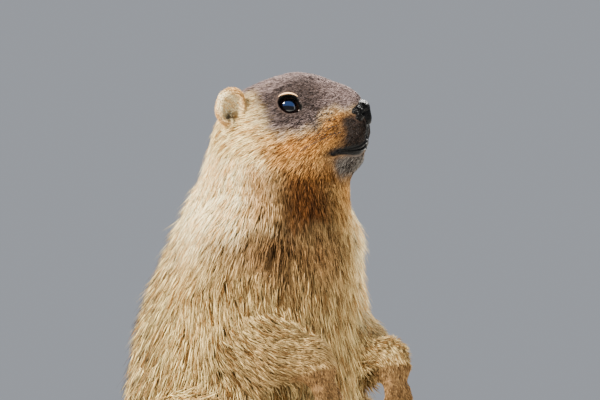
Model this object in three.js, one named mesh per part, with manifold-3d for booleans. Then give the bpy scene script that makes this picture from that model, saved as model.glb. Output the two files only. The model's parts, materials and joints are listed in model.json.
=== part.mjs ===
// A young steppe marmot sitting upright and alert, life size, as a museum model shows it.
// Millimetres, +Z up. The chest faces -Y, the animal's left is +X, and the floor is z = 0.
// The head is turned to the animal's left and tipped up. Each surface is the outside of the coat.
import * as THREE from "three";
import { mergeVertices } from "three/addons/utils/BufferGeometryUtils.js";
import Module from "manifold-3d";

const wasm = await Module();
wasm.setup();

// Driving dimensions
const GAP = 0.32; // between touching pieces
const EYE_HEIGHT = 265; // above the floor
const NECK_FORWARD = 15; // the head turns on an axis this far in front of the body's own
const HEAD_TURN = THREE.MathUtils.degToRad(28); // to the animal's left
const HEAD_TILT = THREE.MathUtils.degToRad(15); // nose up
const EYE_RADIUS = 8;
const EYE_OPENING = { half_width: 7, half_height: 5.3, droop: 0.75, point_front: 0.6, point_rear: 0.12 };
const TAIL_LENGTH = 108;
const TAIL_BEND = 0.45; // how far the tip has turned to the animal's left, in radians
const FOOT_SPLAY = THREE.MathUtils.degToRad(11);

// The trunk and neck as level sections: height, reach of the back behind the body's axis, reach of the
// chest in front of it, and half the width.
const TRUNK = [
  { z: -30, back: 30, front: 6, half: 26 },
  { z: 4, back: 67, front: 40, half: 54 },
  { z: 42, back: 83, front: 61, half: 69 },
  { z: 90, back: 80, front: 69, half: 68 },
  { z: 130, back: 74, front: 66, half: 62 },
  { z: 155, back: 67, front: 65, half: 57 },
  { z: 190, back: 50, front: 63, half: 49 },
  { z: 210, back: 38, front: 60.5, half: 46 },
  { z: 225, back: 28, front: 55, half: 43 },
  { z: 245, back: 19, front: 39, half: 35 },
  { z: 260, back: 4, front: 18, half: 18 },
];

// How finely each piece is meshed: the size of a grid cell, and the number of faces that it is reduced to.
const DETAIL = {
  head: { step: 1.25, faces: 4600 },
  nose: { step: 0.8, faces: 560 },
  ear: { step: 0.9, faces: 440 },
  core: { step: 3.4, faces: 1800 },
  foreleg: { step: 2.4, faces: 420 },
  forepaw: { step: 1, faces: 600 },
  haunch: { step: 3, faces: 420 },
  hindfoot: { step: 1.3, faces: 520 },
};

const add = (a, b, k = 1) => a.map((v, i) => v + k * b[i]);
const dot = (a, b) => a[0] * b[0] + a[1] * b[1] + a[2] * b[2];
const mix = (a, b, t) => a + (b - a) * t;
const clamp01 = (t) => Math.min(1, Math.max(0, t));

// Fields: functions of a point that give roughly its distance from a surface, negative inside

function ellipsoid([cx, cy, cz], [rx, ry, rz], turn = [0, 0, 0]) {
  const m = new THREE.Matrix4().makeRotationFromEuler(new THREE.Euler(...turn)).transpose().elements;
  return (x, y, z) => {
    const dx = x - cx;
    const dy = y - cy;
    const dz = z - cz;
    const a = (m[0] * dx + m[4] * dy + m[8] * dz) / rx;
    const b = (m[1] * dx + m[5] * dy + m[9] * dz) / ry;
    const c = (m[2] * dx + m[6] * dy + m[10] * dz) / rz;
    const k0 = Math.sqrt(a * a + b * b + c * c);
    const k1 = Math.sqrt((a / rx) ** 2 + (b / ry) ** 2 + (c / rz) ** 2);
    return k1 < 1e-9 ? -Math.min(rx, ry, rz) : (k0 * (k0 - 1)) / k1;
  };
}

// A straight limb whose radius changes evenly from ra at a to rb at b.
function limb([ax, ay, az], ra, b, rb) {
  const [ux, uy, uz] = [b[0] - ax, b[1] - ay, b[2] - az];
  const length2 = ux * ux + uy * uy + uz * uz;
  return (x, y, z) => {
    const px = x - ax;
    const py = y - ay;
    const pz = z - az;
    const t = clamp01((px * ux + py * uy + pz * uz) / length2);
    const away2 = (px - t * ux) ** 2 + (py - t * uy) ** 2 + (pz - t * uz) ** 2;
    return Math.sqrt(away2) - mix(ra, rb, t);
  };
}

// A chain of limbs through a list of points, each with its radius. Past FAR from it, the distance is rough.
const FAR = 6;
function chain(points) {
  const links = points.slice(1).map((q, i) => limb(points[i].at, points[i].r, q.at, q.r));
  const places = points.map((p) => new THREE.Vector3(...p.at));
  const { center, radius } = new THREE.Sphere().setFromPoints(places);
  const reach = radius + Math.max(...points.map((p) => p.r));
  return (x, y, z) => {
    const away = Math.sqrt((x - center.x) ** 2 + (y - center.y) ** 2 + (z - center.z) ** 2) - reach;
    return away > FAR ? away : nearest(links, x, y, z);
  };
}
function nearest(fields, x, y, z) {
  let d = fields[0](x, y, z);
  for (let i = 1; i < fields.length; i++) d = Math.min(d, fields[i](x, y, z));
  return d;
}

// Polynomial smooth union and smooth cut, which round the join over k millimetres.
function smoothMin(a, b, k) {
  const h = Math.max(k - Math.abs(a - b), 0) / k;
  return Math.min(a, b) - h * h * k * 0.25;
}
const blend = (k, ...fields) => (x, y, z) => {
  let d = fields[0](x, y, z);
  for (let i = 1; i < fields.length; i++) d = smoothMin(d, fields[i](x, y, z), k);
  return d;
};
const carve = (k, body, ...tools) => (x, y, z) => {
  let d = body(x, y, z);
  for (const tool of tools) d = -smoothMin(-d, tool(x, y, z), k);
  return d;
};

// The trunk's sections joined by a smooth curve through each of their sizes.
const sizeCurve = (key) => {
  const points = TRUNK.map((s) => new THREE.Vector2(s.z, s[key]));
  return new THREE.SplineCurve(points);
};
const TRUNK_SAMPLES = 240;
const trunkTable = (() => {
  const keys = ["back", "front", "half"];
  const low = TRUNK[0].z;
  const high = TRUNK[TRUNK.length - 1].z;
  const table = keys.map((key) => {
    const line = sizeCurve(key).getPoints(TRUNK_SAMPLES * 3);
    return Array.from({ length: TRUNK_SAMPLES + 1 }, (_, i) => {
      const z = mix(low, high, i / TRUNK_SAMPLES);
      const next = line.findIndex((p) => p.x >= z);
      const [p, q] = [line[Math.max(next - 1, 0)], line[Math.max(next, 1)]];
      return mix(p.y, q.y, (z - p.x) / (q.x - p.x));
    });
  });
  return { low, high, table };
})();
function trunk(x, y, z) {
  const { low, high, table } = trunkTable;
  const t = clamp01((z - low) / (high - low)) * TRUNK_SAMPLES;
  const i = Math.min(Math.floor(t), TRUNK_SAMPLES - 1);
  const back = mix(table[0][i], table[0][i + 1], t - i);
  const front = mix(table[1][i], table[1][i + 1], t - i);
  const half = mix(table[2][i], table[2][i + 1], t - i);
  const depth = (back + front) / 2;
  const centre = (back - front) / 2;
  const across = x / half;
  const along = (y - centre) / depth;
  const side = (Math.sqrt(across * across + along * along) - 1) * Math.min(half, depth);
  return Math.max(side, z - high, low - z);
}

// Head. Its own frame has the eyes' level at z = 0 and the turning axis at y = 0, with the nose towards -Y.
// at(u, v, w) is a point u ahead of the axis, v to the animal's left and w up.
const at = (u, v, w) => [v, -u, w];
const pair = (make) => [make(-1), make(1)];

const headGroup = new THREE.Group();
headGroup.position.set(0, -NECK_FORWARD, EYE_HEIGHT);
headGroup.rotation.set(-HEAD_TILT, 0, HEAD_TURN, "ZYX");
headGroup.updateMatrix();
const headToBody = headGroup.matrix.clone();
const bodyToHead = headToBody.clone().invert();
const moved = (field, matrix) => {
  const m = matrix.elements;
  return (x, y, z) =>
    field(
      m[0] * x + m[4] * y + m[8] * z + m[12],
      m[1] * x + m[5] * y + m[9] * z + m[13],
      m[2] * x + m[6] * y + m[10] * z + m[14],
    );
};

const SKULL = ellipsoid(at(-3, 0, -12), [30, 33, 26.5]);
const FOREHEAD = ellipsoid(at(13, 0, -8), [24, 26, 20.5]);
const MUZZLE = limb(at(14, 0, -9), 20, at(33, 0, -12.5), 14);
const SNOUT = ellipsoid(at(38, 0, -18), [10.5, 13.5, 14]);
const JAW = limb(at(28, 0, -36), 9.5, at(0, 0, -28), 21);
const CHIN = ellipsoid(at(34.5, 0, -41), [9.8, 9.5, 8]);
const cheeks = pair((s) => ellipsoid(at(1, s * 15, -24), [16.5, 25, 21.5]));
const jowls = pair((s) => ellipsoid(at(6, s * 9, -36), [14, 22, 12]));
const whiskerPads = pair((s) => ellipsoid(at(36.5, s * 6.8, -28), [9.3, 12.6, 9.4]));
const faceSides = pair((s) => ellipsoid(at(20, s * 9.5, -23), [12.5, 15, 13]));
const brows = pair((s) => ellipsoid(at(11, s * 16, 2.3), [6.5, 12, 6]));

const eyeCentres = pair((s) => at(10.8, s * 14.8, -5.6));
const eyeAxis = (s) => new THREE.Vector3(...at(0.3, s * 0.93, 0.12)).normalize();
const lidShells = eyeCentres.map((c) => ellipsoid(c, [9.6, 9.7, 9.2]));

const nosePad = blend(
  2.5,
  ellipsoid(at(48.8, 0, -15.4), [7.4, 5.4, 4.8]),
  ellipsoid(at(50.4, 0, -21), [4.2, 3.4, 5.6]),
  ...pair((s) => ellipsoid(at(45.4, s * 7, -19), [4.4, 6.6, 5.4], [0, 0, s * 0.3])),
);

const headBulk = blend(
  7,
  blend(9, SKULL, FOREHEAD, MUZZLE, SNOUT),
  blend(6, JAW, CHIN),
  ...cheeks,
  ...jowls,
  ...faceSides,
  ...whiskerPads,
  ...brows,
);

// The whole body of flesh and coat without limbs, in its own frame and in the head's
const wholeCore = blend(16, trunk, moved(headBulk, bodyToHead));
const coreInHead = moved(wholeCore, headToBody);

// Moves a point onto the surface of a field, along the field's slope.
function onSurface(field, point, steps = 12) {
  let p = [...point];
  for (let i = 0; i < steps; i++) {
    const [d, g] = slope(field, p);
    p = add(p, g, -d / Math.max(g[0] ** 2 + g[1] ** 2 + g[2] ** 2, 1e-3));
  }
  return p;
}
function slope(field, [x, y, z], h = 0.05) {
  const d = field(x, y, z);
  return [
    d,
    [
      (field(x + h, y, z) - field(x - h, y, z)) / (2 * h),
      (field(x, y + h, z) - field(x, y - h, z)) / (2 * h),
      (field(x, y, z + h) - field(x, y, z - h)) / (2 * h),
    ],
  ];
}

// The line of the mouth from one corner round the front to the other, and the lips that border it.
const MOUTH = {
  corner: at(23.5, 15, -37.5),
  middle: at(34.5, 12.5, -37),
  side: at(43, 8, -38.4),
  front: at(47, 0, -36.8),
};
const LIP_RISES = [2.4, -2.6]; // of the upper and the lower lip from the mouth's line
const mouthCurve = new THREE.CatmullRomCurve3(
  [
    ...[MOUTH.corner, MOUTH.middle, MOUTH.side].map(([x, y, z]) => [-x, y, z]),
    MOUTH.front,
    ...[MOUTH.side, MOUTH.middle, MOUTH.corner],
  ].map((p) => new THREE.Vector3(...p)),
);
const mouthLine = mouthCurve.getPoints(20).map((p) => onSurface(coreInHead, p.toArray()));
const lips = LIP_RISES.map((rise) =>
  chain(
    mouthLine.map((p, i) => {
      const full = Math.sin((Math.PI * (i + 1)) / (mouthLine.length + 1)) ** 0.6;
      return { at: onSurface(coreInHead, add(p, [0, 0, rise * full])), r: 0.5 + 1.2 * full };
    }),
  ),
);
const GROOVE = { mouth: 1.15, cleft: 0.95 }; // radii
const mouthGroove = chain(mouthLine.map((p) => ({ at: p, r: GROOVE.mouth })));
const cleftLine = [at(52.5, 0, -22.5), at(50.5, 0, -27), at(48.5, 0, -32), at(47, 0, -36.8)];
const cleft = chain(cleftLine.map((p) => ({ at: onSurface(coreInHead, p), r: GROOVE.cleft })));
const nostrils = pair((s) =>
  chain([
    { at: at(53.4, s * 3.8, -18.6), r: 1 },
    { at: at(50.2, s * 8.2, -19), r: 1.4 },
    { at: at(45.4, s * 11, -19.4), r: 1.3 },
    { at: at(42, s * 12.2, -19.4), r: 0.9 },
  ]),
);

// The opening between the lids is an almond seen along the eye's own axis, lower and more pointed in front.
const openings = pair((s) => {
  const centre = eyeCentres[s < 0 ? 0 : 1];
  const axis = eyeAxis(s);
  const { half_width, half_height, droop, point_front, point_rear } = EYE_OPENING;
  const forward = new THREE.Vector3(...at(1, 0, -droop)).projectOnPlane(axis).normalize();
  const up = new THREE.Vector3().crossVectors(axis, forward).multiplyScalar(s);
  if (up.z < 0) up.negate();
  const d = new THREE.Vector3();
  return (x, y, z) => {
    d.set(x - centre[0], y - centre[1], z - centre[2]);
    const a = d.dot(forward) / half_width;
    const point = a > 0 ? point_front : point_rear;
    const b = (d.dot(up) / half_height) * (1 + point * a * a);
    return Math.max((Math.sqrt(a * a + b * b) - 1) * half_height, -d.dot(axis));
  };
});

const lidded = blend(2.2, blend(3.5, coreInHead, ...lidShells), ...lips);
const headShape = carve(0.8, carve(1.2, lidded, mouthGroove, cleft), ...openings);

// Limbs. Each is made on the animal's right, s = -1, and its left, s = 1.
const LEG = {
  shoulder: { at: (s) => [s * 33, -20, 186], r: 25 },
  upper_arm: { at: (s) => [s * 42, -17, 160], r: 22.5 },
  elbow: { at: (s) => [s * 47, -26, 135], r: 17 },
  forearm: { at: (s) => [s * 43, -52, 121], r: 14 },
  wrist: { at: (s) => [s * 34, -75, 116], r: 10.5 },
};
const arm = (s) => {
  const points = Object.values(LEG).map((j) => ({ at: j.at(s), r: j.r }));
  const links = points.slice(1).map((q, i) => limb(points[i].at, points[i].r, q.at, q.r));
  return blend(5, ...links);
};

const HAUNCH = {
  thigh: { centre: (s) => [s * 54, -6, 50], radii: [25, 52, 44] },
  knee: { centre: (s) => [s * 62, -44, 60], radii: [18, 22, 25] },
  shank: { from: (s) => [s * 62, -48, 52], to: (s) => [s * 58, -22, 20], r: [17, 15] },
};
const haunch = (s) =>
  blend(
    14,
    ellipsoid(HAUNCH.thigh.centre(s), HAUNCH.thigh.radii, [0.18, 0, -s * 0.16]),
    ellipsoid(HAUNCH.knee.centre(s), HAUNCH.knee.radii),
    limb(HAUNCH.shank.from(s), HAUNCH.shank.r[0], HAUNCH.shank.to(s), HAUNCH.shank.r[1]),
  );

// A frame of three directions at a place: ahead, to the left, and up out of the paw's back.
function paw(origin, ahead, up) {
  const a = new THREE.Vector3(...ahead).normalize();
  const l = new THREE.Vector3(...up).cross(a).normalize();
  const u = a.clone().cross(l).normalize();
  return (f, left, rise) => {
    const p = new THREE.Vector3(...origin);
    return p.addScaledVector(a, f).addScaledVector(l, left).addScaledVector(u, rise).toArray();
  };
}

const HAND = { palm: 15, width: 15, digits: 4, digit: 13, radius: 3.1, claw: 9 };
const hand = (s) => {
  const place = paw(LEG.wrist.at(s), [-s * 0.12, -0.3, -0.95], [0, -1, 0.3]);
  const digits = Array.from({ length: HAND.digits }, (_, i) => {
    const spread = (i - (HAND.digits - 1) / 2) * (HAND.width / (HAND.digits - 0.4));
    const middle = 1 - 0.16 * Math.abs(i - (HAND.digits - 1) / 2);
    const knuckle = place(HAND.palm + 1, spread, 1);
    const bend = place(HAND.palm + 1 + HAND.digit * 0.55 * middle, spread * 1.3, 1.2);
    const tip = place(HAND.palm + 1 + HAND.digit * middle, spread * 1.42, -1.8);
    const down = place(HAND.palm + 1 + HAND.digit * middle + HAND.claw, spread * 1.55, -6.5);
    return { points: [knuckle, bend, tip], tip, end: down };
  });
  const field = blend(
    3,
    limb(place(-6, 0, 0), 10, place(4, 0, 0), 9),
    ellipsoidIn(place, [8, 0, -0.5], [11, 9.4, 6.6]),
    ...digits.map((d) =>
      chain([
        { at: d.points[0], r: HAND.radius + 0.5 },
        { at: d.points[1], r: HAND.radius },
        { at: d.points[2], r: HAND.radius - 0.5 },
      ]),
    ),
  );
  return { field, digits, place };
};

const FOOT = {
  heel: (s) => [s * 55, -24, 0],
  sole: 40,
  width: 18,
  digits: 5,
  digit: 15,
  radius: 3.6,
  claw: 8.5,
};
const foot = (s) => {
  const place = paw(FOOT.heel(s), [s * Math.sin(FOOT_SPLAY), -Math.cos(FOOT_SPLAY), 0], [0, 0, 1]);
  const digits = Array.from({ length: FOOT.digits }, (_, i) => {
    const off = i - (FOOT.digits - 1) / 2;
    const spread = off * (FOOT.width / (FOOT.digits - 0.6));
    const reach = FOOT.digit * (1 - 0.13 * Math.abs(off) ** 1.4);
    const base = place(FOOT.sole - 1.5 * Math.abs(off), spread, FOOT.radius + 1.6);
    const bend = place(FOOT.sole + reach * 0.55, spread * 1.22, FOOT.radius + 1.8);
    const tip = place(FOOT.sole + reach, spread * 1.34, FOOT.radius - 0.3);
    const end = place(FOOT.sole + reach + FOOT.claw, spread * 1.42, 1.1);
    return { points: [base, bend, tip], tip, end };
  });
  const field = blend(
    3.5,
    ellipsoidIn(place, [16, 0, 7.5], [30, 10.5, 9.5]),
    ellipsoidIn(place, [34, 0, 5.6], [14, 11.5, 6.6]),
    ...digits.map((d) =>
      chain([
        { at: d.points[0], r: FOOT.radius + 0.5 },
        { at: d.points[1], r: FOOT.radius },
        { at: d.points[2], r: FOOT.radius - 0.4 },
      ]),
    ),
  );
  return { field, digits, place };
};

// An ellipsoid lined up with a paw's own directions.
function ellipsoidIn(place, centre, [rf, rl, ru]) {
  const o = place(0, 0, 0);
  const axes = [place(1, 0, 0), place(0, 1, 0), place(0, 0, 1)].map((p) => add(p, o, -1));
  const c = place(...centre);
  const local = ellipsoid([0, 0, 0], [rf, rl, ru]);
  const along = (a, x, y, z) => a[0] * (x - c[0]) + a[1] * (y - c[1]) + a[2] * (z - c[2]);
  return (x, y, z) => local(along(axes[0], x, y, z), along(axes[1], x, y, z), along(axes[2], x, y, z));
}

// Ear: a short rounded cup, open to the side and a little to the front.
const EAR = { half_length: 8.8, half_height: 11.2, thickness: 4.8, cup: 3.4 };
const earBase = (s) => at(-19, s * 29.5, 3);
const earTurn = (s) => [0.45, 0, -s * 0.5];
const ear = (s) => {
  const { half_length, half_height, thickness, cup } = EAR;
  const outer = ellipsoid(earBase(s), [thickness, half_length, half_height], earTurn(s));
  const turn = new THREE.Matrix4().makeRotationFromEuler(new THREE.Euler(...earTurn(s)));
  const out = new THREE.Vector3(s, 0, 0).transformDirection(turn);
  const down = new THREE.Vector3(0, -1.2, -1.2).transformDirection(turn);
  const hollowAt = new THREE.Vector3(...earBase(s)).addScaledVector(out, cup).addScaledVector(down, 0.8);
  const hollowRadii = [thickness * 0.95, half_length - 2, half_height - 2.3];
  const hollow = ellipsoid(hollowAt.toArray(), hollowRadii, earTurn(s));
  const canalAt = new THREE.Vector3(...earBase(s)).addScaledVector(out, 1).addScaledVector(down, 5.5);
  const canal = ellipsoid(canalAt.toArray(), [4, 2.6, 3], earTurn(s));
  const stalk = limb(earBase(s), 4.5, at(-15, s * 20, 0), 7);
  return carve(1, blend(2, outer, stalk), hollow, canal);
};

// Meshing

// The six tetrahedra of a grid cell share its long diagonal. A corner's number has a bit for each axis.
const ORDERS = [[0, 1, 2], [1, 2, 0], [2, 0, 1], [0, 2, 1], [2, 1, 0], [1, 0, 2]];
const TETRAHEDRA = ORDERS.map(([a, b]) => [0, 1 << a, (1 << a) | (1 << b), 7]);
const corner = (i) => [i & 1, (i >> 1) & 1, (i >> 2) & 1];

// For each tetrahedron and each set of its corners inside: the triangles as triples of its edges, facing
// outwards.
const CASES = TETRAHEDRA.map((tet) =>
  Array.from({ length: 16 }, (_, mask) => {
    const inside = [0, 1, 2, 3].filter((i) => mask & (1 << i));
    const outside = [0, 1, 2, 3].filter((i) => !(mask & (1 << i)));
    if (!inside.length || !outside.length) return [];
    const loop =
      inside.length === 2
        ? [
            [inside[0], outside[0]],
            [inside[0], outside[1]],
            [inside[1], outside[1]],
            [inside[1], outside[0]],
          ]
        : inside.flatMap((i) => outside.map((o) => [i, o]));
    const place = (i) => new THREE.Vector3(...corner(tet[i]));
    const middles = loop.map(([i, o]) => place(i).add(place(o)));
    const normal = middles[1].clone().sub(middles[0]).cross(middles[2].clone().sub(middles[0]));
    const centre = (list) =>
      list.reduce((sum, i) => sum.add(place(i)), new THREE.Vector3()).divideScalar(list.length);
    if (normal.dot(centre(outside).sub(centre(inside))) < 0) loop.reverse();
    const edges = loop.map(([i, o]) => [tet[i], tet[o]]);
    return edges.length === 3 ? [edges] : [[edges[0], edges[1], edges[2]], [edges[0], edges[2], edges[3]]];
  }),
);

// The closed surface of a field inside a box, as { points, faces }, by marching tetrahedra.
const BLOCK = 4;
function surfaceOf(field, low, high, step) {
  const n = low.map((v, i) => Math.ceil((high[i] - v) / step) + 1);
  const index = (i, j, k) => i + n[0] * (j + n[1] * k);
  const value = new Float64Array(n[0] * n[1] * n[2]);
  const sample = (i, j, k) => field(low[0] + i * step, low[1] + j * step, low[2] + k * step);
  // Blocks of grid points that are far from the surface take the sign of their middle.
  const clear = BLOCK * step * 1.5;
  for (let bk = 0; bk < n[2]; bk += BLOCK)
    for (let bj = 0; bj < n[1]; bj += BLOCK)
      for (let bi = 0; bi < n[0]; bi += BLOCK) {
        const middle = sample(bi + BLOCK / 2, bj + BLOCK / 2, bk + BLOCK / 2);
        const skip = Math.abs(middle) > clear;
        for (let k = bk; k < Math.min(bk + BLOCK, n[2]); k++)
          for (let j = bj; j < Math.min(bj + BLOCK, n[1]); j++)
            for (let i = bi; i < Math.min(bi + BLOCK, n[0]); i++) {
              const edge = !i || !j || !k || i === n[0] - 1 || j === n[1] - 1 || k === n[2] - 1;
              const d = edge ? step : skip ? middle : sample(i, j, k);
              value[index(i, j, k)] = Math.abs(d) < 1e-5 ? 1e-5 : d;
            }
      }
  const points = [];
  const faces = [];
  const known = new Map();
  const crossing = (cell, [a, b]) => {
    const [p, q] = [a, b].map((c) => corner(c).map((v, i) => v + cell[i]));
    const [ip, iq] = [index(...p), index(...q)];
    const key = ip < iq ? ip * value.length + iq : iq * value.length + ip;
    if (!known.has(key)) {
      const t = value[ip] / (value[ip] - value[iq]);
      known.set(key, points.length);
      points.push(p.map((v, i) => low[i] + step * mix(v, q[i], t)));
    }
    return known.get(key);
  };
  for (let k = 0; k < n[2] - 1; k++)
    for (let j = 0; j < n[1] - 1; j++)
      for (let i = 0; i < n[0] - 1; i++) {
        let inside = 0;
        for (let c = 0; c < 8; c++)
          if (value[index(i + (c & 1), j + ((c >> 1) & 1), k + ((c >> 2) & 1))] < 0) inside |= 1 << c;
        if (inside === 0 || inside === 255) continue;
        TETRAHEDRA.forEach((tet, t) => {
          const mask = tet.reduce((m, c, bit) => m | (inside & (1 << c) ? 1 << bit : 0), 0);
          for (const triangle of CASES[t][mask]) faces.push(triangle.map((e) => crossing([i, j, k], e)));
        });
      }
  return { points, faces };
}

// Fewer faces, by collapsing the edges that change the shape least (quadric error), until target faces are
// left. No face may turn further than the angle of this cosine squared.
const MIN_COSINE2 = 0.04;
function simplified({ points, faces }, target) {
  const P = points.map((p) => [...p]);
  const F = faces.map((f) => [...f]);
  const around = P.map(() => []);
  F.forEach((f, i) => f.forEach((v) => around[v].push(i)));
  const cross = (a, b, c, out) => {
    const [ux, uy, uz] = [b[0] - a[0], b[1] - a[1], b[2] - a[2]];
    const [vx, vy, vz] = [c[0] - a[0], c[1] - a[1], c[2] - a[2]];
    out[0] = uy * vz - uz * vy;
    out[1] = uz * vx - ux * vz;
    out[2] = ux * vy - uy * vx;
  };
  // A quadric is the sum of the squared distances to the planes of the faces round a point.
  const Q = P.map(() => new Float64Array(10));
  const n = [0, 0, 0];
  for (const f of F) {
    cross(P[f[0]], P[f[1]], P[f[2]], n);
    const size = Math.sqrt(n[0] ** 2 + n[1] ** 2 + n[2] ** 2) || 1e-12;
    const [a, b, c] = n.map((v) => v / size);
    const d = -(a * P[f[0]][0] + b * P[f[0]][1] + c * P[f[0]][2]);
    const q = [a * a, a * b, a * c, a * d, b * b, b * c, b * d, c * c, c * d, d * d];
    for (const v of f) for (let i = 0; i < 10; i++) Q[v][i] += q[i] * size;
  }
  const errorAt = (q, x, y, z) =>
    q[0] * x * x + q[4] * y * y + q[7] * z * z + q[9] +
    2 * (q[1] * x * y + q[2] * x * z + q[3] * x + q[5] * y * z + q[6] * y + q[8] * z);
  const m = new THREE.Matrix3();
  const low = new THREE.Vector3();
  const sum = new Float64Array(10);
  const age = new Int32Array(P.length);
  const heap = [];
  const push = (item) => {
    let i = heap.push(item) - 1;
    while (i > 0 && heap[(i - 1) >> 1].cost > item.cost) {
      heap[i] = heap[(i - 1) >> 1];
      i = (i - 1) >> 1;
    }
    heap[i] = item;
  };
  const pop = () => {
    const top = heap[0];
    const last = heap.pop();
    if (!heap.length) return top;
    let i = 0;
    for (;;) {
      let child = 2 * i + 1;
      if (child >= heap.length) break;
      if (child + 1 < heap.length && heap[child + 1].cost < heap[child].cost) child++;
      if (heap[child].cost >= last.cost) break;
      heap[i] = heap[child];
      i = child;
    }
    heap[i] = last;
    return top;
  };
  // Puts an edge in the queue, with the best spot for the point that its two ends would become.
  const consider = (a, b) => {
    const [p, r] = [P[a], P[b]];
    for (let i = 0; i < 10; i++) sum[i] = Q[a][i] + Q[b][i];
    const span = Math.sqrt((p[0] - r[0]) ** 2 + (p[1] - r[1]) ** 2 + (p[2] - r[2]) ** 2);
    const spot = [(p[0] + r[0]) / 2, (p[1] + r[1]) / 2, (p[2] + r[2]) / 2];
    m.set(sum[0], sum[1], sum[2], sum[1], sum[4], sum[5], sum[2], sum[5], sum[7]);
    const scale = (sum[0] + sum[4] + sum[7]) / 3;
    if (Math.abs(m.determinant()) > 1e-4 * scale ** 3) {
      low.set(-sum[3], -sum[6], -sum[8]).applyMatrix3(m.invert());
      const away = Math.sqrt((low.x - spot[0]) ** 2 + (low.y - spot[1]) ** 2 + (low.z - spot[2]) ** 2);
      if (away < span) low.toArray(spot);
    }
    const cost = errorAt(sum, spot[0], spot[1], spot[2]) + 1e-7 * span;
    push({ cost, a, b, spot, stamp: age[a] + age[b] });
  };
  const neighbours = (v) => {
    const found = [];
    for (const f of around[v]) for (const w of F[f]) if (w !== v && !found.includes(w)) found.push(w);
    return found;
  };
  const [before, after] = [[0, 0, 0], [0, 0, 0]];
  const turnsOver = (v, gone, spot) => {
    for (const f of around[v]) {
      const [a, b, c] = F[f];
      if (a === gone || b === gone || c === gone) continue;
      cross(P[a], P[b], P[c], before);
      cross(a === v ? spot : P[a], b === v ? spot : P[b], c === v ? spot : P[c], after);
      const turned = dot(before, after);
      if (turned <= 0 || turned ** 2 < MIN_COSINE2 * dot(before, before) * dot(after, after)) return true;
    }
    return false;
  };
  const collapse = (a, b, spot) => {
    P[a] = spot;
    for (let i = 0; i < 10; i++) Q[a][i] += Q[b][i];
    for (const f of around[b]) {
      if (F[f].includes(a)) {
        for (const w of F[f]) if (w !== b) around[w].splice(around[w].indexOf(f), 1);
        F[f] = null;
        left--;
      } else {
        F[f][F[f].indexOf(b)] = a;
        around[a].push(f);
      }
    }
    around[b] = [];
    age[a] += age[b] + 1;
    age[b] = -1;
  };
  let left = F.length;
  P.forEach((_, v) => neighbours(v).forEach((w) => v < w && consider(v, w)));
  while (left > target && heap.length) {
    const { a, b, spot, stamp } = pop();
    if (stamp !== age[a] + age[b] || !around[a].length || !around[b].length) continue;
    const na = neighbours(a);
    const shared = neighbours(b).filter((w) => na.includes(w));
    if (!na.includes(b) || shared.length !== 2 || turnsOver(a, b, spot) || turnsOver(b, a, spot)) continue;
    collapse(a, b, spot);
    neighbours(a).forEach((w) => consider(Math.min(a, w), Math.max(a, w)));
  }
  return { points: P, faces: F.filter((f) => f) };
}

// Puts each point back on the field's own surface, where that is close.
function settled(mesh, field, reach) {
  return {
    faces: mesh.faces,
    points: mesh.points.map((p) => {
      const q = onSurface(field, p, 2);
      return Math.hypot(...add(q, p, -1)) < reach ? q : p;
    }),
  };
}

const solidFrom = (vertProperties, indices) =>
  new wasm.Manifold(new wasm.Mesh({ numProp: 3, vertProperties, triVerts: new Uint32Array(indices) }));
const solidOf = ({ points, faces }) => solidFrom(new Float32Array(points.flat()), faces.flat());
const MERGE = 1e-4; // points of one geometry that are closer than this are one point
const geometrySolid = (geometry) => {
  const bare = geometry.clone();
  bare.deleteAttribute("normal");
  bare.deleteAttribute("uv");
  const merged = mergeVertices(bare, MERGE);
  return solidFrom(merged.attributes.position.array, merged.index.array);
};
const meshed = (field, [low, high], { step, faces }) =>
  solidOf(settled(simplified(surfaceOf(field, low, high, step), faces), field, step * 0.3));

// A box round some points, as its lowest and highest corners.
const boxRound = (points, margin) => [
  [0, 1, 2].map((i) => Math.min(...points.map((p) => p[i])) - margin),
  [0, 1, 2].map((i) => Math.max(...points.map((p) => p[i])) + margin),
];

// Only the largest closed surface is kept, without any hollow or scrap.
function largest(solid) {
  const bodies = solid.decompose();
  return bodies.reduce((a, b) => (b.volume() > a.volume() ? b : a));
}

// A solid's surface as a plain geometry.
function geometryOf(solid) {
  const { numVert, numProp, vertProperties, triVerts } = solid.getMesh();
  const points = new Float32Array(numVert * 3);
  for (let i = 0; i < numVert; i++)
    points.set(vertProperties.subarray(i * numProp, i * numProp + 3), i * 3);
  const geometry = new THREE.BufferGeometry();
  geometry.setAttribute("position", new THREE.BufferAttribute(points, 3));
  geometry.setIndex(new THREE.BufferAttribute(new Uint32Array(triVerts), 1));
  return geometry;
}

// A solid grown by a distance along its own normals, to cut a neighbour back from it.
function grown(solid, by) {
  const merged = mergeVertices(geometryOf(solid), MERGE);
  merged.computeVertexNormals();
  const [p, n] = [merged.attributes.position, merged.attributes.normal];
  for (let i = 0; i < p.count; i++)
    p.setXYZ(i, p.getX(i) + n.getX(i) * by, p.getY(i) + n.getY(i) * by, p.getZ(i) + n.getZ(i) * by);
  return geometrySolid(merged);
}

// A large box to cut with. Its near face passes through point and faces along normal, and frame moves it.
const CUTTER = 600;
function halfSpace(point, normal, frame = new THREE.Matrix4()) {
  const box = new THREE.BoxGeometry(CUTTER, CUTTER, CUTTER);
  box.translate(0, 0, -CUTTER / 2);
  const turn = new THREE.Quaternion().setFromUnitVectors(
    new THREE.Vector3(0, 0, 1),
    new THREE.Vector3(...normal).normalize(),
  );
  box.applyQuaternion(turn);
  box.translate(...point);
  box.applyMatrix4(frame);
  return geometrySolid(box);
}

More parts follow.
